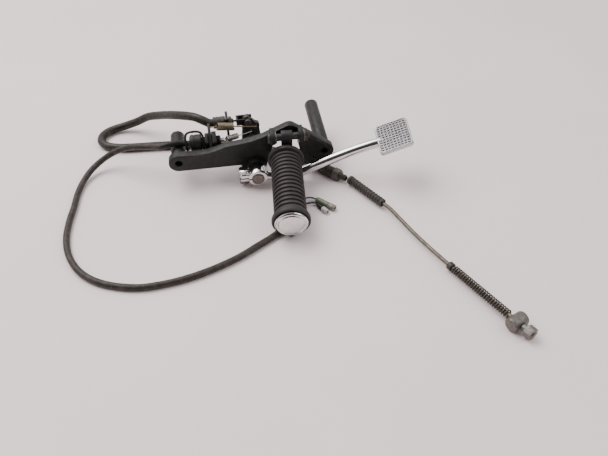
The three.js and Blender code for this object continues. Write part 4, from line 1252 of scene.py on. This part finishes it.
def on_peg(point):
    return on_bracket(PEG_TURN @ Vector(point) + PEG_AT)


RUBBER_L = 96
GROOVE_R, RIB_R, FLANGE_R, FLANGE_L, RIBS = 15.6, 17.1, 20, 6, 15
CAP_R, CAP_T = 17, 4
softened("peg_core_look", "peg_core", satin_black, "paint", 0.8, 3)
softened("feeler_bolt_look", "feeler_bolt", olive_drab, "steel", 0.5, 3)

# %% Rubber sleeve
bore = 8.3
recess = CAP_R + 0.8
sleeve = [(bore, 0.4), (15.5, 0.2), (17.6, 0), (19.2, 0.5), (19.9, 1.4), (FLANGE_R, 2.4)]
sleeve += [(FLANGE_R, 4.4), (19.7, 5.3)]
sleeve += [(18.9, 5.9), (17.6, 6.0), (GROOVE_R + 0.6, 6.3), (GROOVE_R, 7.2)]
sleeve += [(GROOVE_R, RUBBER_L - 12), (GROOVE_R + 0.3, RUBBER_L - 11), (RIB_R - 0.3, RUBBER_L - 10.4)]
sleeve += [(RIB_R, RUBBER_L - 9.8), (RIB_R, RUBBER_L - 6.6), (RIB_R + 0.5, RUBBER_L - 6.0)]
sleeve += [(18.9, RUBBER_L - 5.9), (19.7, RUBBER_L - 5.4), (FLANGE_R, RUBBER_L - 4.4)]
sleeve += [(FLANGE_R, RUBBER_L - 2.0)]
sleeve += [(19.8, RUBBER_L - 0.9), (19.2, RUBBER_L - 0.2), (18.4, RUBBER_L), (recess, RUBBER_L - 0.2)]
sleeve += [(recess, RUBBER_L - 2), (bore, RUBBER_L - 2)]
turned(
    "peg_rubber_sleeve", sleeve, on_peg((0, 0, 0)), on_peg((0, -1, 0)), peg_rubber, "peg", ("peg_rubber",),
    "rubber", 112, 32,
)
pitch = (RUBBER_L - 2 * FLANGE_L) / RIBS
rib_width = pitch * 0.56
sizes = {
    "Count": RIBS - 1, "Pitch": pitch * MM, "Radius": (GROOVE_R + RIB_R - 0.5) / 2 * MM,
    "Height": (RIB_R - GROOVE_R + 0.5) * MM, "Width": rib_width * MM, "Corner": 0.7 * MM,
}
first_rib = FLANGE_L + pitch * 0.57
place = line_up(on_peg((0, -first_rib, 0)), on_peg((0, -first_rib - 1, 0)))
ribs = settle(
    grow("peg_rubber_ribs", ring_tree, sizes, place, peg_rubber), peg_rubber, "peg", slot="rubber",
    sharp=50,
)
low, high = [Vector(c) for c in (ribs.bound_box[0], ribs.bound_box[6])]
print("ribs:", [round(x * 1000, 1) for x in high - low], "mm")

# %% End cap
cap_start = RUBBER_L - 2 + GAP
cap = [(0, 0), (CAP_R - 0.3, 0), (CAP_R, 0.3), (CAP_R, CAP_T - 0.8), (CAP_R - 0.25, CAP_T - 0.2)]
cap += [(CAP_R - 0.8, CAP_T + 0.4), (CAP_R - 1.5, CAP_T + 0.85), (CAP_R - 2.1, CAP_T + 0.95)]
cap += [(CAP_R - 2.6, CAP_T + 0.85), (CAP_R - 3.1, CAP_T + 0.5), (CAP_R - 3.5, CAP_T + 0.45)]
cap += [(CAP_R - 3.9, CAP_T + 0.7), (CAP_R - 4.4, CAP_T + 1.25), (CAP_R - 5.0, CAP_T + 1.5)]
cap += [(9, CAP_T + 1.65), (5, CAP_T + 1.8), (0, CAP_T + 1.85)]
turned(
    "peg_end_cap_look", cap, on_peg((0, -cap_start, 0)), on_peg((0, -cap_start - 1, 0)), chrome, "peg",
    ("peg_end_cap",), "chrome", 128, 22,
)

# %% Pivot pin, washers and cotter
PIN_Y, PIN_Z = -8.5, 29
EAR_IN = PEG_AT.x + 2.5 - 13
EAR_OUT = EAR_IN + 26


def at_pin(x):
    return on_bracket((x, PIN_Y, PIN_Z))


pin_start = EAR_IN - 5 - GAP - 2.5
pin_end = EAR_OUT + 5 + 6.6
pin = [
    (0, 0), (4.6, 0), (5.6, 0.5), (6, 1.1), (6, 2.5), (4, 2.5), (4, pin_end - pin_start - 0.8),
    (3.3, pin_end - pin_start), (0, pin_end - pin_start),
]
turned(
    "peg_pivot_pin_look", pin, at_pin(pin_start), at_pin(pin_end), dark_steel, "bracket",
    ("peg_pivot_pin",), "steel", 56,
)
turned(
    "pin_washer_rear_look", rounded_rod(13, 1.4, 0.25, 8.6), at_pin(EAR_IN + GAP), at_pin(EAR_IN + 2),
    dull_zinc, "bracket", ("pin_washer_rear",), "chrome", 56,
)
turned(
    "pin_washer_front_look", rounded_rod(13, 1.4, 0.25, 8.6), at_pin(EAR_OUT + 5 + GAP),
    at_pin(EAR_OUT + 7), dull_zinc, "bracket", ("pin_washer_front",), "steel", 56,
)
cotter_x = pin_end - 2.2
cotter = [
    (-0.5, -8), (-0.45, 0), (-0.5, 4), (-1.5, 5.6), (-1.3, 7.4), (0, 8), (1.3, 7.4), (1.5, 5.6), (0.5, 4),
    (0.45, 0), (0.5, -6),
]
bent_wire(
    "pin_cotter_look", [on_bracket((cotter_x, PIN_Y + dy, PIN_Z + dz)) for dy, dz in cotter], 0.85,
    dull_zinc, "bracket", ("pin_cotter",), "steel", 0.0006,
)

# %% [markdown]
# The brake cable's fittings. Each end has a crimped steel ferrule with a threaded adjuster and a
# lock nut. At the brake end a rubber bellows keeps water out, and the bare wire carries a long
# spring, a cross-drilled barrel that sits in the brake arm, and the adjusting nut.

# %% Upper ferrule, lock nut, fork and pin
def crimped(diameter, length, rings=3):
    """Lathe points of a ferrule with crimped grooves, from its mouth."""
    r = diameter / 2
    points = [(r - 0.5, 0), (r, 0.5)]
    for i in range(rings):
        at = length * (i + 0.7) / (rings + 1.2)
        points += [(r, at - 0.9), (r - 0.45, at - 0.4), (r - 0.45, at + 0.4), (r, at + 0.9)]
    return points + [(r, length - 0.7), (r - 0.7, length)]


def on_cable(x):
    return on_bracket((x, CABLE_Y, CABLE_Z))


ADJUSTER_END = CABLE_STOP_X + 9
upper = crimped(13.6, 14, 2) + thread(3.5, 14.2, ADJUSTER_END - UPPER_FERRULE_X - 0.4, 0.8, 0.35)
upper += [
    (2.6, ADJUSTER_END - UPPER_FERRULE_X), (1.7, ADJUSTER_END - UPPER_FERRULE_X), (1.7, 9.2), (5.3, 9),
    (5.3, 0),
]
turned(
    "upper_ferrule_look", upper, on_cable(UPPER_FERRULE_X), on_cable(ADJUSTER_END), dark_steel, "bracket",
    ("upper_ferrule",), "steel", 56, 30,
)
softened("upper_lock_nut_look", "upper_lock_nut", dark_steel, "steel", 0.4, 3)
softened("cable_fork_look", "cable_fork", satin_black, "paint", 0.3)
softened("clevis_pin_look", "clevis_pin", dull_zinc, "steel", 0.3)

# %% Lower ferrule, neck and lock nut
FERRULE_L = 19
NECK_L = 17


def on_ferrule(distance):
    return on_floor(beyond(FERRULE_AT, FERRULE_TO, distance))


lower = crimped(12.4, FERRULE_L, 3) + thread(3.5, FERRULE_L + 0.2, FERRULE_L + NECK_L - 0.6, 0.9, 0.35)
lower += [(2.9, FERRULE_L + NECK_L), (2.5, FERRULE_L + NECK_L), (2.5, 8), (0, 8), (0, 0)]
ferrule = turned(
    "lower_ferrule_look", [(0, 0)] + lower[:-1], on_ferrule(0), on_ferrule(1), olive_drab, "bracket",
    ("lower_ferrule",), "steel", 56, 30,
)
lower_nut = softened("lower_lock_nut_look", "lower_lock_nut", dull_zinc, "steel", 0.6, 3)

# %% Bellows boot
FOLDS = 12
boot = [(2.8, 0), (4.2, 0), (4.9, 0.6), (5, 1.5), (5, 3.2), (4.6, 4.0)]
fold = (BOOT_L - 8) / FOLDS
for i in range(FOLDS):
    for share, radius in ((0.0, 3.8), (0.2, 4.1), (0.38, 4.75), (0.5, 4.95), (0.62, 4.75), (0.8, 4.1)):
        boot.append((radius, 4.4 + (i + share) * fold))
boot += [
    (3.8, BOOT_L - 3.6), (4.4, BOOT_L - 3.2), (4.7, BOOT_L - 2.6), (4.7, BOOT_L - 0.8), (4.2, BOOT_L - 0.1),
    (2.8, BOOT_L),
]
bellows = turned(
    "rubber_boot_look", boot, on_floor(BOOT_AT), on_floor(BOOT_END), boot_rubber, "bracket",
    ("rubber_boot",), "rubber", 56, 50,
)

# %% Collar, long spring, barrel and adjusting nut
collar = turned(
    "spring_collar_look", rounded_rod(8.4, COLLAR_L, 0.5, 4.6), on_rod(0), on_rod(COLLAR_L), dark_steel,
    "cable_end", ("spring_collar",), "steel", 48,
)
sizes = {"Turns": 25.5, "Radius": 3.5 * MM, "Length": (SPRING_L - 2.4) * MM, "Wire": 0.75 * MM}
place = line_up(on_rod(COLLAR_L + 1.1), on_rod(COLLAR_L + SPRING_L))
long_spring = settle(
    grow("cable_spring_coil", coil_tree, sizes, place, dark_spring), dark_spring, "cable_end",
    ("cable_spring",), "worn",
)
along = Vector(ROD_END) - Vector(COLLAR_AT)
along = Vector((along.x, along.y, 0)).normalized()
across = Vector((-along.y, along.x, 0))
barrel_middle = beyond(COLLAR_AT, ROD_END, BARREL_MID)
BARREL_R, BARREL_L = 6.75, 18
half_barrel = [(0, 0), (3.4, 0), (3.7, 0.3), (BARREL_R - 1.6, 0.3), (BARREL_R - 0.5, 0.9), (BARREL_R, 2.0)]
barrel_profile = half_barrel + [(r, BARREL_L - d) for r, d in reversed(half_barrel)]
barrel = turned(
    "barrel_look", barrel_profile, on_floor(barrel_middle - across * BARREL_L / 2),
    on_floor(barrel_middle + across * BARREL_L / 2), dull_zinc, "cable_end", ("barrel",), "steel", 72, 30,
)
nut = softened("adjuster_nut_look", "adjuster_nut", dull_zinc, "steel", 0.9, 3)

# %% Connectors
GREEN_L = (Vector(GREEN_TO) - Vector(GREEN_AT)).length
green_profile = [
    (0, 0), (1.6, 0), (2.4, 0.4), (3.2, 1.6), (3.4, 3), (3.4, 9.6), (3.1, 10), (3.1, 11), (3.4, 11.4),
    (3.4, 16.6), (3.1, 17), (0, 17),
]
green = turned(
    "green_connector_look", green_profile, on_floor(GREEN_AT), on_floor(GREEN_TO), green_moulding,
    "bracket", ("green_connector",), "green", 48, 30,
)
clear_profile = [
    (0, 17.1), (3.2, 17.1), (3.4, 17.5), (3.4, GREEN_L - 0.8), (3.0, GREEN_L), (1.7, GREEN_L),
    (1.7, GREEN_L - 5), (0, GREEN_L - 5),
]
clear_end = turned(
    "green_connector_mouth", clear_profile, on_floor(GREEN_AT), on_floor(GREEN_TO), grey_moulding,
    "bracket", (), "green", 48, 30,
)
BLACK_L = (Vector(BLACK_TO) - Vector(BLACK_AT)).length
black_profile = [(0, 0), (1.3, 0), (1.9, 0.5), (2.4, 2), (2.5, 3), (2.5, 7.6), (2.2, 8), (0, 8)]
black_plug = turned(
    "black_connector_look", black_profile, on_floor(BLACK_AT), on_floor(BLACK_TO), black_moulding,
    "bracket", ("black_connector",), "plastic", 40, 30,
)
sleeve_profile = [
    (0, 8.3), (2.5, 8.3), (2.8, 8.7), (2.8, BLACK_L - 0.6), (2.4, BLACK_L), (1.5, BLACK_L),
    (1.5, BLACK_L - 4), (0, BLACK_L - 4),
]
clear_sleeve = turned(
    "connector_sleeve_look", sleeve_profile, on_floor(BLACK_AT), on_floor(BLACK_TO), clear_moulding,
    "bracket", ("connector_sleeve",), "blue", 40, 30,
)

# %% [markdown]

# %% [markdown]
# The stage is a plain pale floor with a faint warm mottle. The light is one large soft source
# high on the left, a weaker one on the right, and a pale sky, which is what chrome needs: big
# bright shapes to mirror and a darker band low down to draw its edges.

# %% Floor
bm = bmesh.new()
bmesh.ops.create_grid(bm, x_segments=1, y_segments=1, size=4)
floor = object_from(bm, "floor")
paper = finish_of(
    "pale_paper", [
        (0.35, (0.88, 0.765, 0.77)), (0.65, (0.91, 0.805, 0.80)),
    ], 3, (0.55, 0.65), (0.03, 500, 0.0002)
)
floor.data.materials.append(paper)
floor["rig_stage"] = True

# %% Light
def soft_light(name, where, target, size, power, tint=(1, 1, 1)):
    data = bpy.data.lights.new(name, "AREA")
    data.shape = "RECTANGLE"
    data.size, data.size_y = size
    data.energy = power
    data.color = tint
    made = bpy.data.objects.new(name, data)
    bpy.context.collection.objects.link(made)
    made.matrix_world = line_up(where, target) @ Matrix.Rotation(math.pi, 4, "X")
    return made


soft_light("window", (-0.9, 0.5, 1.7), (0, 0, 0), (1.6, 1.2), 40, (1, 0.985, 0.97))
soft_light("fill", (1.3, -0.5, 1.3), (0, 0, 0), (1.2, 1.2), 7, (0.97, 0.98, 1))
world = bpy.data.worlds.new("sky")
world.use_nodes = True
sky = world.node_tree
sky.nodes.clear()
direction = node(sky, "ShaderNodeTexCoord").outputs["Generated"]
height = node(sky, "ShaderNodeSeparateXYZ", {"Vector": direction}).outputs["Z"]
bands = ramp(
    sky, height,
    [
        (0.0, (0.30, 0.28, 0.28)), (0.12, (0.45, 0.43, 0.43)), (0.35, (0.95, 0.92, 0.92)),
        (1.0, (1.0, 0.97, 0.97)),
    ],
)
facing = node(sky, "ShaderNodeVectorMath", {0: direction, 1: (0, -0.86, 0.5)}, operation="DOT_PRODUCT")
room = ramp(sky, facing.outputs["Value"], [(0.55, 0.0), (0.9, 1.0)])
bands = mix(sky, room, bands, (0.06, 0.055, 0.055))
glow = node(sky, "ShaderNodeBackground", {"Color": bands, "Strength": 1.12})
last = node(sky, "ShaderNodeOutputWorld")
sky.links.new(glow.outputs["Background"], last.inputs["Surface"])
bpy.context.scene.world = world

# %% [markdown]
# Last, both boxes are written down so that the visible model can be compared with the solids.

# %% Sizes and the end
sizes = {"cad": [list(c) for c in cad_box], "visual": [list(c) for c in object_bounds()]}
print(sizes)
